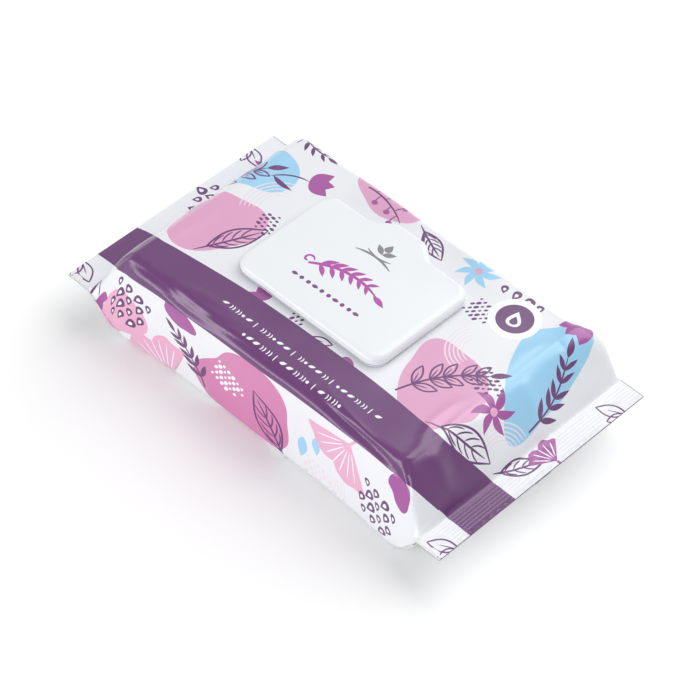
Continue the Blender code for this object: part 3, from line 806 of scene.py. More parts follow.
def print_design():
    """Everything printed on the film, from the back wall to the front wall and below."""
    art = Print()
    # The back wall and the edges of the underside repeat the design
    garden(art, -72 - 112j)
    garden(art, 22 - 106j)
    art.drawn_leaf(84 - 96j, -24, 26, 11)
    for along in (-88, 4, 92):
        art.arcs(along + 132j, 30, 16)
        art.drawn_leaf(along - 20 + 122j, -34, 24, 10)
    # The seam under the pack, with a plain panel in front of it
    art.add("blush", rounded_rectangle(58, 17, 4, 6), 134j)
    art.add("film_white", rounded_rectangle(56.6, 15.6, 3, 6), 134j)
    for row in range(6):
        line = stroke(np.linspace(-50, 50 - 7 * (row % 3), 12) + 0j, 0.8)
        art.add("purple", line, 1j * (123.5 + 4.2 * row))
    # The top, left of the lid
    art.add("blue", blob(25, 17, 0.9), -90 - 27j, 18)
    art.add("pink", blob(24, 17, 2.9), -72 + 12j, -28)
    art.arcs(-57 - 12j, 200, 17, 5)
    art.arcs(-112 + 8j, 20, 14)
    art.fern(-113 - 2j, -36, 42, 5, 12.5, drawn=True)
    art.drawn_leaf(-63 + 25j, -64, 28, 10.5)
    art.drawn_leaf(-97 + 25j, -128, 19, 8.5, 3)
    art.tulip(-60 - 34j, -28, 9.5, 17)
    art.dots(-100 + 4j, 30, 6)
    art.dots(-53 - 9j, 70, 4)
    art.pinwheel("magenta", "light_pink", -111 - 43j, 12, 10.5, 6)
    art.fern(-87 - 58j, 18, 23, 4, 8, 0.12)
    art.open_drops("film_white", -121 - 20j, 60, 2)
    # The strip behind the lid
    art.add("pink", blob(18, 12, 1.4), -26 - 53j, 8)
    art.berries(-39 - 50j, 14, 26)
    art.drawn_leaf(-3 - 48j, 24, 19, 8)
    art.pinwheel("blue", "pink", 30 - 47j, 30, 10.5, 7)
    art.dots(42 - 36j, 12, 5)
    # Between the lid and the band
    art.tulip(-22 + 30j, 206, 7)
    art.dots(-8 + 26.5j, 0, 2)
    art.leaf_line(6 + 31.5j, -20, 11, 4.4)
    art.add("magenta", ellipse(4.2, 2.8), 28 + 31j, 30)
    # Right of the lid
    art.add("pink", blob(25, 18, 4.1), 64 + 12j, 34)
    art.add("blue", blob(27, 17, 5.6), 89 - 25j, 62)
    art.arcs(62 - 14j, 150, 15, 5)
    art.arcs(108 + 10j, 210, 16, 5)
    art.fern(52 + 27j, -56, 40, 5, 12, -0.08, drawn=True)
    art.fern(106 - 8j, -118, 36, 5, 11)
    art.drawn_leaf(79 + 28j, -24, 30, 12)
    art.drawn_leaf(113 + 12j, -66, 20, 8.5, 3)
    art.pinwheel("magenta", "light_pink", 88 + 4j, 0, 11.5, 6)
    art.dots(71 - 9j, 20, 5)
    art.tulip(82 - 56j, 96, 8.6, 15)
    art.open_drops("film_white", 45 - 47j, -6, 1)
    art.fan("magenta", 125 - 10j, 172, 12, 5)
    # A round seal with a plain drop
    badge = 59.7 - 37.5j
    art.add("white", ellipse(11.6, 11.6, 56), badge)
    art.add("purple", ellipse(8.3, 8.3, 48), badge)
    art.add("white", drop_shape(), badge, -110, 4.6)
    art.add("purple", drop_shape(), badge + 0.35 + 0.8j, -110, 2.5)
    # The front wall
    art.arcs(36 + 92j, 30, 17, 5)
    art.arcs(-62 + 76j, 160, 15, 5)
    art.add("hot_pink", blob(28, 23, 1.9), -8 + 82j, 6)
    art.add("light_pink", blob(18, 13, 4.4), -86 + 82j, -30)
    art.fan("light_pink", -55 + 106j, -118, 25)
    art.fan("light_pink", 55 + 60j, 118, 25)
    art.add("magenta", blob(9, 6, 0.2), -48 + 62j, 18)
    art.add("magenta", blob(9, 6, 3.2), 86 + 62j, -20)
    art.fern(-33 + 95j, -128, 28, 5, 10, 0.08)
    art.drawn_leaf(14 + 99j, -122, 31, 14, 4, 1.25)
    art.open_drops("white", -84 + 64j, 24, 4)
    art.open_drops("white", 66 + 74j, 14, 4)
    art.dots(-24 + 72j, 24, 5, "white", (0.85, 1.3), 3.1)
    art.add("blue", leaf_shape(13, 6), 27 + 79j, 96)
    art.add("blue", leaf_shape(10, 5), 34 + 74j, 84)
    art.dots(30 + 88j, 12, 4, "blush", (0.9, 1.2), 3.2)
    art.tulip(-103 + 66j, 60, 8.5, 13)
    # The back wall
    art.add("blue", blob(24, 17, 3.3), -52 - 84j, 12)
    art.add("pink", blob(24, 16, 0.4), 34 - 82j, -18)
    art.fern(-70 - 76j, -20, 36, 5, 11, drawn=True)
    art.drawn_leaf(8 - 78j, -30, 28, 12)
    art.tulip(-10 - 88j, -60, 9, 16)
    art.open_drops("white", 60 - 92j, 10, 4)
    art.dots(-30 - 72j, 14, 6)
    # Small leaves on the crimps, cut by the film's end
    for side in (-1, 1):
        for spot in (side * 129 - 50j, side * 129 + 53j):
            art.leaf_line(spot, 90 + side * 62, 14, 6.5)
            art.leaf_line(spot, 90 + side * 22, 10, 5)
    # The band and its rows of small ornaments
    art.add("purple", np.concatenate([smooth_path(BAND_TOP, 9), smooth_path(BAND_FRONT, 9)[::-1]]))
    art.ornament_row(-34 + 42.6j, 25)
    art.ornament_row(-15 + 49.6j, 16)
    return art.fields


def mouth_outline(grow, steps):
    """Outline of the dispensing mouth in metres, as complex x + y * i."""
    half_x = MOUTH_LENGTH / 2 + grow
    half_y = MOUTH_WIDTH / 2 + grow
    return rounded_rectangle(half_x, half_y, MOUTH_CORNER + grow, steps) + complex(LID_X, LID_Y)


def rounded_rectangle(half_x, half_y, corner, steps):
    """Counterclockwise outline round the origin, as complex numbers."""
    points = []
    for sign_x, sign_y, start in ((1, 1, 0), (-1, 1, 90), (-1, -1, 180), (1, -1, 270)):
        centre = complex(sign_x * (half_x - corner), sign_y * (half_y - corner))
        turn = np.radians(start + 90 * np.linspace(0, 1, steps + 1))
        points.append(centre + corner * np.exp(1j * turn))
    return np.concatenate(points)


def spread(low, high, step):
    """Even places between two ends, about a step apart."""
    count = max(int(round((high - low) / step)), 1)
    return [low + (high - low) * (i + 0.5) / count for i in range(count)]


def grid_points():
    """Points over the flat film, in mm: close together where it bends or is pressed."""
    half_sheet = HALF_SHEET / MM
    front_end = (HALF_GIRTH + FIN_WIDTH * 1.5) / MM
    back_end = (HALF_GIRTH + FIN_WIDTH * 0.5) / MM
    body = SHOULDER_ALONG / MM - 6
    seal = SEAL_ALONG / MM - 1.5
    foot, under = 95.5, 106  # across the film: the foot of the walls, and the underside
    points = []

    def fill(along_rows, across_rows, side=1):
        points.extend((side * along, across) for along in along_rows for across in across_rows)

    def underside(edge, step):
        return spread(-back_end, -edge, step) + spread(edge, front_end, step)

    for across in spread(-95, 95, 2.5):
        for along in spread(-body, body, 2.7):
            points.append((along, across + 0.5 * math.sin(along)))
    for side in (-1, 1):
        for across in spread(foot, under - 0.5, 1.0):
            points.extend((along, side * across) for along in spread(-body, body, 3.0))
    for side in (-1, 1):
        fill(spread(body, seal, 1.25), spread(-under, under, 1.45), side)
        fill(spread(seal, half_sheet, 0.42), spread(-back_end, front_end, 4.2), side)
        fill(spread(body, seal, 2.4), underside(under, 2.6), side)
    # Both long edges of the top, the front one with the ledge below it
    fill(spread(-body, body, 1.6), spread(41, 62, 0.7) + spread(-58, -46, 1.2))
    fill(spread(-body, body, 6), underside(104, 3.2))
    return points, (half_sheet, front_end, back_end)


def fold_lines():
    """The sharp folds of the tucked sides, as lines over the flat film in mm."""
    lines = []
    for side in (-1, 1):
        slope = np.linspace(TOP_END - 0.001, SEAL_START, 22)
        seal = np.linspace(SEAL_START, HALF_PACK - 0.0001, 30)[1:]
        x = side * np.concatenate([slope, seal])
        along = along_of(x) / MM
        for front in (1, -1):
            part = Section(x, front > 0)
            for across in (part.to_edge, (part.to_edge + part.to_low) / 2, part.to_low):
                lines.append(list(zip(along.tolist(), (front * across / MM).tolist())))
    return lines


def border(half_sheet, front_end, back_end):
    """The cut film's own edge, counterclockwise."""
    along = np.linspace(-half_sheet, half_sheet, 128)
    across = np.linspace(-back_end, front_end, 150)
    loop = [complex(a, -back_end) for a in along[:-1]]
    loop += [complex(half_sheet, b) for b in across[:-1]]
    loop += [complex(a, front_end) for a in along[:0:-1]]
    loop += [complex(-half_sheet, b) for b in across[:0:-1]]
    return loop


def add_loop(loop, vertices, faces):
    first = len(vertices)
    vertices.extend(Vector((p.real, p.imag)) for p in loop)
    faces.append(list(range(first, first + len(loop))))


def triangulated(vertices, edges, faces):
    """Corners and triangles between all lines, and the numbers of the faces each lies in."""
    spots, _, triangles, _, _, origins = geometry.delaunay_2d_cdt(vertices, edges, faces, 0, 1e-4, True)
    return [(p.x, p.y) for p in spots], list(zip(triangles, origins))


def flat_film():
    """Triangulates the flat film along every edge of the print."""
    points, ends = grid_points()
    half_sheet, front_end, back_end = ends
    vertices = [Vector(p) for p in points]
    edges = []
    for line in fold_lines():
        first = len(vertices)
        vertices.extend(Vector(p) for p in line)
        edges.extend((first + i, first + i + 1) for i in range(len(line) - 1))
    faces = []
    inks = ["film_white"]
    add_loop(border(half_sheet, front_end, back_end), vertices, faces)
    for ink, loop in print_design():
        inside = (np.abs(loop.real) < half_sheet) & (loop.imag < front_end) & (loop.imag > -back_end)
        if inside.any():
            add_loop(loop, vertices, faces)
            inks.append(ink)
    hole = len(faces)
    add_loop((np.conj(mouth_outline(-FILM_LIP, 14)) / MM)[::-1], vertices, faces)
    spots, triangles = triangulated(vertices, edges, faces)
    kept = [item for item in triangles if 0 in item[1] and hole not in item[1]]
    colors = [inks[max(origin)] for _, origin in kept]
    used, corners = np.unique(np.array([triangle for triangle, _ in kept]), return_inverse=True)
    return np.array(spots)[used], corners.reshape(-1, 3), colors


def build_film():
    """The printed film: both of its faces, with the print as fields of colour, and the rims of its cut
    ends in the purple ink as painted shade.
    """
    flat, triangles, colors = flat_film()
    along = flat[:, 0] * MM
    across = flat[:, 1] * MM
    outer = film_point(along, across)
    normal = film_normal(film_point, along, across)
    at_cut = np.abs(along) > HALF_SHEET - NEAR_CUT
    tucked = (np.abs(across) > HALF_SEAL + NEAR_CUT) & (np.abs(across) < HALF_SEAL + 2 * TUCK)
    thick = np.where(at_cut & ~tucked, SEAL_HALF * 0.95, SHEET)
    inner = outer - normal * thick[:, None]
    count = len(outer)
    edges = {pair: 1 for a, b, c in triangles for pair in ((a, b), (b, c), (c, a))}
    open_edges = [(a, b) for a, b in edges if (b, a) not in edges]
    faces = [(a, c, b) for a, b, c in triangles]
    faces += [(a + count, b + count, c + count) for a, b, c in triangles]
    faces += [(a, b, b + count, a + count) for a, b in open_edges]
    names = list(INKS)
    slots = [names.index(color) for color in colors]
    slots += [len(names)] * len(triangles)
    # Painted shade: the rim faces along the cut ends take the purple ink, to stand in for the dark line
    # of the cut edge in its own shadow
    slots += [names.index("purple") if at_cut[a] and at_cut[b] else len(names) for a, b in open_edges]
    mesh = bpy.data.meshes.new("printed_wrap")
    mesh.from_pydata(np.concatenate([outer, inner]).tolist(), [], faces)
    for name in names:
        mesh.materials.append(film_material("film_" + name, INKS[name]))
    mesh.materials.append(film_material("film_inside", FILM_INSIDE))
    mesh.polygons.foreach_set("material_index", slots)
    layer = mesh.uv_layers.new(name="UVMap")
    index = np.zeros(len(mesh.loops), dtype=np.int32)
    mesh.loops.foreach_get("vertex_index", index)
    flat_uv = flat[index % count] / 200.0 + 0.9
    layer.data.foreach_set("uv", flat_uv.astype(np.float32).ravel())
    mesh.shade_smooth()
    mesh.normals_split_custom_set(np.concatenate([normal, -normal])[index].tolist())
    film = add_piece("printed_wrap", mesh, "pack")
    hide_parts("film_wrap")


def linked(name, data):
    """A new object in the scene."""
    obj = bpy.data.objects.new(name, data)
    bpy.context.scene.collection.objects.link(obj)
    return obj


def add_piece(name, mesh, body):
    obj = linked(name, mesh)
    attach(obj, body)
    return obj


# Materials


def new_material(name):
    """A material, its nodes, its shader, and places on the piece."""
    material = bpy.data.materials.new(name)
    material.use_nodes = True
    tree = material.node_tree
    place = tree.nodes.new("ShaderNodeTexCoord").outputs["Object"]
    return material, tree, tree.nodes["Principled BSDF"], place


def set_inputs(node, **values):
    for key, value in values.items():
        node.inputs[key.replace("_", " ")].default_value = value


def add_node(tree, kind, **values):
    node = tree.nodes.new(kind)
    set_inputs(node, **values)
    return node


def noise(tree, place, scale, detail, distortion=0.0):
    node = add_node(tree, "ShaderNodeTexNoise", Scale=scale, Detail=detail, Distortion=distortion)
    tree.links.new(place, node.inputs["Vector"])
    return node.outputs["Fac"]


def vary_roughness(tree, shader, value, low, high):
    node = add_node(tree, "ShaderNodeMapRange", To_Min=low, To_Max=high)
    tree.links.new(value, node.inputs["Value"])
    tree.links.new(node.outputs["Result"], shader.inputs["Roughness"])


def vary_color(tree, shader, value, color, spread):
    """The colour, a little lighter and darker with the value."""
    node = tree.nodes.new("ShaderNodeMix")
    node.data_type = "RGBA"
    dark = [c * (1 - spread) for c in color]
    light = [min(c * (1 + spread), 1.0) for c in color]
    node.inputs["A"].default_value = (*dark, 1.0)
    node.inputs["B"].default_value = (*light, 1.0)
    tree.links.new(value, node.inputs["Factor"])
    tree.links.new(node.outputs["Result"], shader.inputs["Base Color"])


def bump_from(tree, height, strength, distance, onward=None):
    node = add_node(tree, "ShaderNodeBump", Strength=strength, Distance=distance)
    tree.links.new(height, node.inputs["Height"])
    if onward:
        tree.links.new(onward, node.inputs["Normal"])
    return node.outputs["Normal"]


def film_material(name, color):
    """Printed film under a clear, soft-gloss laminate."""
    material, tree, shader, place = new_material(name)
    broad = noise(tree, place, 22.0, 2.0)
    fine = noise(tree, place, 420.0, 4.0)
    vary_color(tree, shader, noise(tree, place, 2600.0, 2.0), color, 0.035)
    vary_roughness(tree, shader, broad, 0.26, 0.36)
    set_inputs(shader, IOR=1.45, Coat_Weight=0.6, Coat_Roughness=0.25, Coat_IOR=1.5)
    soft = bump_from(tree, broad, 0.06, 0.0012)
    normal = bump_from(tree, fine, 0.03, 0.0002, soft)
    tree.links.new(normal, shader.inputs["Normal"])
    tree.links.new(normal, shader.inputs["Coat Normal"])
    return material


def plastic_material(name, color, roughness, texture):
    """Moulded polypropylene."""
    material, tree, shader, place = new_material(name)
    cloud = noise(tree, place, 60.0, 2.0)
    vary_color(tree, shader, cloud, color, 0.012)
    vary_roughness(tree, shader, cloud, roughness - 0.03, roughness + 0.04)
    set_inputs(shader, IOR=1.49, Subsurface_Weight=0.04, Subsurface_Scale=0.0012)
    set_inputs(shader, Subsurface_Radius=(1.0, 1.0, 1.0))
    fine = noise(tree, place, 1800.0, 3.0)
    tree.links.new(bump_from(tree, fine, texture, 0.00012), shader.inputs["Normal"])
    return material


def wipe_material():
    """Moist spunlaced nonwoven, with rows of pressed dimples."""
    material, tree, shader, place = new_material("wipe_nonwoven")
    fibre = noise(tree, place, 900.0, 5.0, 1.4)
    cells = add_node(tree, "ShaderNodeTexVoronoi", Scale=420.0, Randomness=0.35)
    tree.links.new(place, cells.inputs["Vector"])
    vary_color(tree, shader, fibre, WIPE_WHITE, 0.06)
    vary_roughness(tree, shader, fibre, 0.45, 0.75)
    set_inputs(shader, Sheen_Weight=0.25, Sheen_Roughness=0.5)
    dimples = bump_from(tree, cells.outputs["Distance"], 0.5, 0.0004)
    tree.links.new(bump_from(tree, fibre, 0.6, 0.0003, dimples), shader.inputs["Normal"])
    return material


def ink_material(name, color):
    """Pad-printed ink on the lid."""
    material, tree, shader, place = new_material(name)
    grain = noise(tree, place, 3000.0, 2.0)
    vary_color(tree, shader, grain, color, 0.05)
    vary_roughness(tree, shader, grain, 0.25, 0.4)
    return material


# The flip-top


def inset_loop(loop, distance):
    """A closed counterclockwise outline of complex numbers, moved inwards."""
    before = loop - np.roll(loop, 1)
    after = np.roll(loop, -1) - loop
    before = before / np.abs(before)
    after = after / np.abs(after)
    inward = 1j * (before + after)
    scale = np.maximum(1.0 + (before * np.conj(after)).real, 0.12)
    return loop + inward * distance / scale


def lid_outline(inset, hump_depth):
    """The lid seen from above: a rounded rectangle with a bell-shaped hump at the back."""
    half_y = LID_WIDTH / 2
    corner_steps = 12
    corners = rounded_rectangle(LID_LENGTH / 2, half_y, LID_CORNER, corner_steps)
    share = np.linspace(0, 1, 19)
    reach = HUMP_FLAT + (HUMP_REACH - HUMP_FLAT) * share
    edge = 1j * (half_y + hump_depth * (0.5 + 0.5 * np.cos(math.pi * share)))
    split = corner_steps + 1
    hump = [(reach + edge)[::-1], edge - reach]
    loop = np.concatenate([corners[:split], *hump, corners[split:]]) + complex(LID_X, LID_Y)
    return inset_loop(loop, inset)


def loft_mesh(rings, close=False):
    """A closed mesh through rings of complex outlines with heights."""
    mesh = bmesh.new()
    levels = []
    for loop, z in rings:
        levels.append([mesh.verts.new((p.real, p.imag, z)) for p in loop])
    pairs = list(zip(levels, levels[1:]))
    if close:
        pairs.append((levels[-1], levels[0]))
    for low, high in pairs:
        for index in range(len(low)):
            mesh.faces.new((low[index - 1], low[index], high[index], high[index - 1]))
    if not close:
        mesh.faces.new(reversed(levels[0]))
        mesh.faces.new(levels[-1])
    bmesh.ops.recalc_face_normals(mesh, faces=mesh.faces)
    return mesh


def slab(outline, low, high):
    return loft_mesh([(outline, low), (outline, high)])


def ring(inner, outer, low, high):
    return loft_mesh([(inner, low), (outer, low), (outer, high), (inner, high)], close=True)


def box_mesh(low, high):
    mesh = bmesh.new()
    bmesh.ops.create_cube(mesh, size=1.0)
    size = Vector(high) - Vector(low)
    bmesh.ops.scale(mesh, vec=size, verts=mesh.verts)
    bmesh.ops.translate(mesh, vec=(Vector(low) + Vector(high)) / 2, verts=mesh.verts)
    return mesh


def as_data(mesh, name):
    data = bpy.data.meshes.new(name)
    mesh.to_mesh(data)
    mesh.free()
    return data


def combined(name, base, steps, material):
    """The base mesh after a list of Boolean steps, as one plain mesh."""
    target = linked(name, as_data(base, name))
    helpers = []
    for index, (mesh, operation) in enumerate(steps):
        helper = linked(f"{name}_cut_{index}", as_data(mesh, "helper"))
        modifier = target.modifiers.new(f"step_{index}", "BOOLEAN")
        modifier.operation = operation
        modifier.solver = "EXACT"
        modifier.object = helper
        helpers.append(helper)
    bevel = target.modifiers.new("edges", "BEVEL")
    bevel.width = EDGE_BREAK
    bevel.segments = 2
    bevel.limit_method = "ANGLE"
    bevel.angle_limit = math.radians(40)
    bevel.harden_normals = True
    graph = bpy.context.evaluated_depsgraph_get()
    result = bpy.data.meshes.new_from_object(target.evaluated_get(graph))
    result.name = name
    for obj in helpers + [target]:
        bpy.data.objects.remove(obj, do_unlink=True)
    result.shade_smooth()
    result.set_sharp_from_angle(angle=math.radians(48))
    result.materials.clear()
    result.materials.append(material)
    return result


def arc_profile(inset, z, radius, start, end, steps, rise=None):
    """Insets and heights along a rounded edge, in degrees. rise is its height, if it differs."""
    turn = np.radians(np.linspace(start, end, steps + 1))
    tall = rise or radius
    return [(inset + radius * math.cos(a), z + tall * math.sin(a)) for a in turn]


def build_lid():
    """The cover: skirt, rounded upper edge, flat top, sealing rib, hinge edge."""
    lip = LID_WALL - LID_FOOT
    foot_z = SKIRT_Z + LID_FOOT_RISE
    profile = [(LID_WALL, CEILING), (LID_WALL, SKIRT_Z + lip)]
    profile += arc_profile(LID_WALL - lip, SKIRT_Z + lip, lip, 0, -90, 3)[1:]
    profile += arc_profile(LID_FOOT, foot_z, LID_FOOT, -90, -180, 7, LID_FOOT_RISE)[1:]
    profile += arc_profile(LID_ROUNDING, LID_TOP - LID_ROUNDING, LID_ROUNDING, 180, 90, 12)
    base = loft_mesh([(lid_outline(inset, HUMP_DEPTH), z) for inset, z in profile])
    rib_inner = mouth_outline(COLLAR_WALL + SEAL_RIB_GAP, 16)
    rib_outer = mouth_outline(COLLAR_WALL + SEAL_RIB_GAP + SEAL_RIB_WALL, 16)
    right = LID_X + HUMP_FLAT + HINGE_SIDE_GAP
    left = LID_X - HUMP_FLAT - HINGE_SIDE_GAP
    edge_z = HINGE_Z + GAP / 2
    low = (left, HINGE_Y - LID_WALL - OVER, SKIRT_Z - OVER)
    steps = [
        (ring(rib_inner, rib_outer, CEILING - SEAL_RIB_DEPTH, CEILING + LID_WALL / 2), "UNION"),
        (box_mesh(low, (right, HINGE_Y + OVER, edge_z)), "DIFFERENCE"),
        (box_mesh(low, (right, HINGE_Y - HINGE_LIP, edge_z + HINGE_RELIEF)), "DIFFERENCE"),
    ]
    gloss = plastic_material("lid_gloss", LID_WHITE, 0.20, 0.05)
    mesh = combined("moulded_lid", base, steps, gloss)
    lid = add_piece("moulded_lid", mesh, "lid")
    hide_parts("flip_lid")


def build_frame():
    """The glued base: plate, rim, thin outer foot, collar and the hinge lug."""
    edge = LID_WALL + FRAME_GAP
    hump = HUMP_DEPTH - FRAME_HUMP_GAP
    base = slab(lid_outline(edge, hump), FRAME_Z, PLATE_TOP)
    sunk = PLATE_TOP - FRAME_THICKNESS / 2
    rim_inner = lid_outline(edge + RIM_WALL, 0.0)
    flange = lid_outline(FLANGE_INSET, hump)
    collar = (mouth_outline(-COLLAR_WALL, 16), mouth_outline(COLLAR_WALL, 16))
    left = LID_X - HUMP_FLAT
    right = LID_X + HUMP_FLAT
    lip_top = HINGE_Z - GAP / 2
    lug_y = HINGE_Y - HINGE_LUG
    relief_low = (left - OVER, lug_y - OVER, lip_top - HINGE_RELIEF)
    relief_high = (right + OVER, HINGE_Y - HINGE_LIP, lip_top + OVER)
    steps = [
        (ring(rim_inner, lid_outline(edge, 0.0), sunk, PLATE_TOP + RIM_HEIGHT), "UNION"),
        (slab(flange, FRAME_Z, FRAME_Z + FLANGE_THICKNESS), "UNION"),
        (ring(*collar, sunk, CEILING - GAP), "UNION"),
        (box_mesh((left, lug_y, FRAME_Z), (right, HINGE_Y, lip_top)), "UNION"),
        (box_mesh(relief_low, relief_high), "DIFFERENCE"),
        (slab(mouth_outline(0.0, 16), FRAME_Z - OVER, LID_TOP), "DIFFERENCE"),
    ]
    satin = plastic_material("frame_satin", FRAME_WHITE, 0.30, 0.10)
    mesh = combined("moulded_frame", base, steps, satin)
    plate = add_piece("moulded_frame", mesh, "pack")
    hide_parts("lid_frame")


def build_hinge_web():
    """The thin web that joins the frame's lug to the lid."""
    depth = HINGE_LIP * 0.7
    reach = HINGE_LIP * 1.2
    half = HUMP_FLAT * 0.96
    low = (LID_X - half, HINGE_Y - depth, HINGE_Z - reach)
    mesh = box_mesh(low, (LID_X + half, HINGE_Y, HINGE_Z + reach))
    cuts = [e for e in mesh.edges if abs(e.verts[0].co.z - e.verts[1].co.z) > reach]
    bmesh.ops.subdivide_edges(mesh, edges=cuts, cuts=11, use_grid_fill=True)
    data = as_data(mesh, "hinge_web")
    data.materials.append(bpy.data.materials["lid_gloss"])
    web = linked("hinge_web", data)
    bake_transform(web)


def lid_print():
    """The ornament on the lid: a leafy sprig over a row of small beads, and a drop."""
    art = Print()
    stem = bow(-21 - 5j, 14 + 0.5j, 0.13, 24)
    art.add("lid_magenta", stroke(stem, 1.5, 0.8, 0.4))
    for pair in range(6):
        foot = stem[3 + 3 * pair]
        for lean, length in ((50, 8.6 - 0.5 * pair), (-38, 7.6 - 0.4 * pair)):
            art.add("lid_magenta", leaf_shape(length, length * 0.31, 0.18), foot, lean - 2 * pair)
    art.add("lid_magenta", leaf_shape(8, 2.8, 0.1), 12.5 + 0.4j, -16)
    curl = 2.6 * np.exp(1j * np.linspace(0.3, 5.2, 18)) * np.linspace(1.0, 0.45, 18)
    art.add("lid_magenta", stroke(curl, 1.1), -22.5 - 3.2j)
    for bead in range(10):
        spot = complex(-20.5 + 3.9 * bead, -13.4 + 0.12 * bead)
        shape = ellipse(1.05, 1.05, 16) if bead % 3 else leaf_shape(3.4, 1.9) - 1.7
        art.add("lid_purple", shape, spot, 4)
    art.add("lid_grey", stroke(bow(-13 + 15.5j, 7 + 15.5j, 0.10, 16), 1.1))
    art.add("lid_grey", stroke(bow(-9 + 19.2j, 4.4 + 19.2j, -0.12, 14), 0.9))
    art.add("lid_grey", drop_shape(), -2 + 25.2j, 90, 2.5)
    for lean in (35, 145):
        art.add("lid_grey", leaf_shape(6.4, 2.7), -2 + 20.4j, lean)
    return art.fields


def build_lid_print():
    """The lid's print, as a thin layer of ink on its top face."""
    fields = lid_print()
    mesh = bmesh.new()
    for slot, name in enumerate(LID_INKS):
        vertices = []
        faces = []
        for ink, loop in fields:
            if ink == name:
                add_loop(loop, vertices, faces)
        spots, triangles = triangulated(vertices, [], faces)
        corners = [mesh.verts.new((x * MM, y * MM, LID_TOP + INK_LIFT)) for x, y in spots]
        for triangle, origin in triangles:
            if origin:
                face = mesh.faces.new([corners[i] for i in triangle])
                face.material_index = slot
    loose = [v for v in mesh.verts if not v.link_faces]
    bmesh.ops.delete(mesh, geom=loose, context="VERTS")
    data = as_data(mesh, "lid_ornament")
    for name, color in LID_INKS.items():
        data.materials.append(ink_material(name, color))
    add_piece("lid_ornament", data, "lid")


def stack_top(x, y):
    """Heights of the top wipe: its free edge is drawn up a little inside the mouth."""
    edge = LEAD_EDGE_Y + LEAD_EDGE_WAVE * np.sin(x * 90)
    step = smooth_step(y, edge + 0.0004, edge - 0.0004)
    inside = smooth_step(np.abs(x - LID_X) / (MOUTH_LENGTH / 2 - 0.004), 1.0, 0.45)
    inside = inside * smooth_step(np.abs(y - LID_Y) / (MOUTH_WIDTH / 2 - 0.003), 1.0, 0.35)
    pulled = LEAD_EDGE_PULL * inside * step * smooth_step(y, edge - 0.007, edge - 0.0006)
    waves = np.sin(x * 620 + y * 240) + np.sin(x * 350 - y * 510 + 1)
    wrinkle = WIPE_WRINKLE * inside * waves
    return STACK_HIGH[2] - LEAD_EDGE_STEP + LEAD_EDGE_STEP * step + pulled + wrinkle


def build_stack():
    """The folded wipes: ridged long sides, and a soft top with its free edge drawn up."""
    half_y = STACK_WIDTH / 2
    low_z = STACK_LOW[2]
    high_z = STACK_HIGH[2]
    rows_x = np.linspace(-STACK_LENGTH / 2, STACK_LENGTH / 2, 130)
    rows_y = np.linspace(-half_y + FOLD_SETBACK, half_y - FOLD_SETBACK, 110)
    grid_x, grid_y = np.meshgrid(rows_x, rows_y, indexing="ij")
    height = stack_top(grid_x, grid_y)
    vertices = np.stack([grid_x, grid_y, height], -1).reshape(-1, 3).tolist()
    nx = len(rows_x)
    ny = len(rows_y)
    faces = []
    for i in range(nx - 1):
        for j in range(ny - 1):
            a = i * ny + j
            faces.append((a, a + ny, a + ny + 1, a + 1))
    tier = (high_z - LEAD_EDGE_STEP - low_z) / WIPE_COUNT
    sides = []
    for fold in range(2 * WIPE_COUNT, -1, -1):
        z = low_z + fold * tier / 2
        into = max(FOLD_SETBACK - min(z - low_z, high_z - z), 0.0)
        half = half_y - FOLD_SETBACK + math.sqrt(max(FOLD_SETBACK**2 - into**2, 0.0))
        sides.append((half - (0 if fold % 2 else FOLD_DEPTH), z))
    for sign in (-1, 1):
        start = len(vertices)
        vertices.extend((x, sign * y, z) for y, z in sides for x in rows_x)
        walls = []
        for row in range(len(sides) - 1):
            for a in range(start + row * nx, start + row * nx + nx - 1):
                walls.append((a, a + nx, a + nx + 1, a + 1))
        column = 0 if sign < 0 else ny - 1
        for i in range(nx - 1):
            a = i * ny + column
            walls.append((a, start + i, start + i + 1, a + ny))
        faces.extend(quad[::-sign] for quad in walls)
    mesh = bpy.data.meshes.new("folded_wipes")
    mesh.from_pydata(vertices, [], faces)
    shell = bmesh.new()
    shell.from_mesh(mesh)
    bmesh.ops.holes_fill(shell, edges=[e for e in shell.edges if e.is_boundary], sides=0)
    bmesh.ops.triangulate(shell, faces=[f for f in shell.faces if len(f.verts) > 4])
    bmesh.ops.recalc_face_normals(shell, faces=shell.faces)
    shell.to_mesh(mesh)
    shell.free()
    mesh.shade_smooth()
    mesh.set_sharp_from_angle(angle=math.radians(60))
    mesh.materials.append(wipe_material())
    stack = add_piece("folded_wipes", mesh, "pack")
    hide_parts("wipes_stack")


# Floor, light and camera


def seen_ray(tree):
    """1 for what the camera sees, straight on, mirrored or through glass."""
    path = tree.nodes.new("ShaderNodeLightPath")
    total = path.outputs["Is Camera Ray"]
    for name in ("Is Glossy Ray", "Is Transmission Ray"):
        either = tree.nodes.new("ShaderNodeMath")
        either.operation = "MAXIMUM"
        tree.links.new(total, either.inputs[0])
        tree.links.new(path.outputs[name], either.inputs[1])
        total = either.outputs[0]
    return total


def show_by_ray(tree, plain, seen, output):
    """Joins two shaders to an output: one that lights things, one that the camera sees."""
    shown = tree.nodes.new("ShaderNodeMixShader")
    tree.links.new(seen_ray(tree), shown.inputs["Fac"])
    tree.links.new(plain.outputs[0], shown.inputs[1])
    tree.links.new(seen.outputs[0], shown.inputs[2])
    tree.links.new(shown.outputs[0], tree.nodes.new(output).inputs["Surface"])


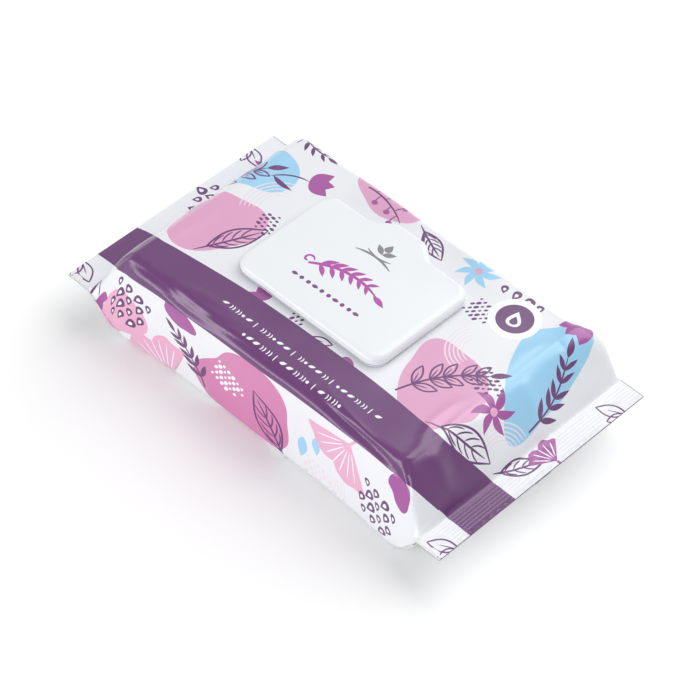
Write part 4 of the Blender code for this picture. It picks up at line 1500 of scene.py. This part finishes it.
def build_floor():
    mesh = bmesh.new()
    bmesh.ops.create_grid(mesh, x_segments=1, y_segments=1, size=3.0)
    bmesh.ops.translate(mesh, vec=(0, 0, -0.0001), verts=mesh.verts)
    floor = linked("floor", as_data(mesh, "floor"))
    material = bpy.data.materials.new("floor_white")
    material.use_nodes = True
    tree = material.node_tree
    tree.nodes.clear()
    diffuse = add_node(tree, "ShaderNodeBsdfDiffuse", Color=FLOOR_COLOR)
    glow = add_node(tree, "ShaderNodeEmission", Color=PLAIN_WHITE, Strength=FLOOR_GLOW)
    both = tree.nodes.new("ShaderNodeAddShader")
    tree.links.new(diffuse.outputs[0], both.inputs[0])
    tree.links.new(glow.outputs[0], both.inputs[1])
    show_by_ray(tree, diffuse, both, "ShaderNodeOutputMaterial")
    floor.data.materials.append(material)


def build_world():
    world = bpy.data.worlds.new("soft_studio")
    bpy.context.scene.world = world
    world.use_nodes = True
    tree = world.node_tree
    tree.nodes.clear()
    soft = add_node(tree, "ShaderNodeBackground", Color=SKY_COLOR, Strength=SKY_LEVEL)
    plain = add_node(tree, "ShaderNodeBackground", Color=PLAIN_WHITE, Strength=1.0)
    show_by_ray(tree, soft, plain, "ShaderNodeOutputWorld")


def add_area(name, place, target, size, power):
    light = bpy.data.lights.new(name, "AREA")
    light.shape = "RECTANGLE"
    light.size, light.size_y = size
    light.energy = power
    lamp = linked(name, light)
    lamp.location = place
    lamp.rotation_euler = (Vector(target) - Vector(place)).to_track_quat("-Z", "Y").to_euler()


def build_camera():
    turn = Matrix.Rotation(math.radians(VIEW_AZIMUTH), 4, "Z")
    tilt = Matrix.Rotation(math.radians(90 - VIEW_ELEVATION), 4, "X")
    roll = Matrix.Rotation(math.radians(VIEW_ROLL), 4, "Z")
    data = bpy.data.cameras.new("view")
    data.lens = VIEW_LENS
    data.sensor_width = SENSOR
    data.clip_start = 0.05
    camera = linked("view", data)
    away = Matrix.Translation((0, 0, VIEW_DISTANCE))
    camera.matrix_world = Matrix.Translation(VIEW_TARGET) @ turn @ tilt @ roll @ away
    bpy.context.scene.camera = camera


def main():
    bpy.context.scene.view_settings.view_transform = "Standard"
    build_camera()
    build_stack()
    build_film()
    build_frame()
    build_lid()
    build_hinge_web()
    build_lid_print()
    build_floor()
    build_world()
    add_area("key", KEY_PLACE, (0, 0, 0), KEY_SIZE, KEY_LEVEL)
    add_area("front_fill", FILL_PLACE, FILL_AIM, FILL_SIZE, FILL_LEVEL)


main()
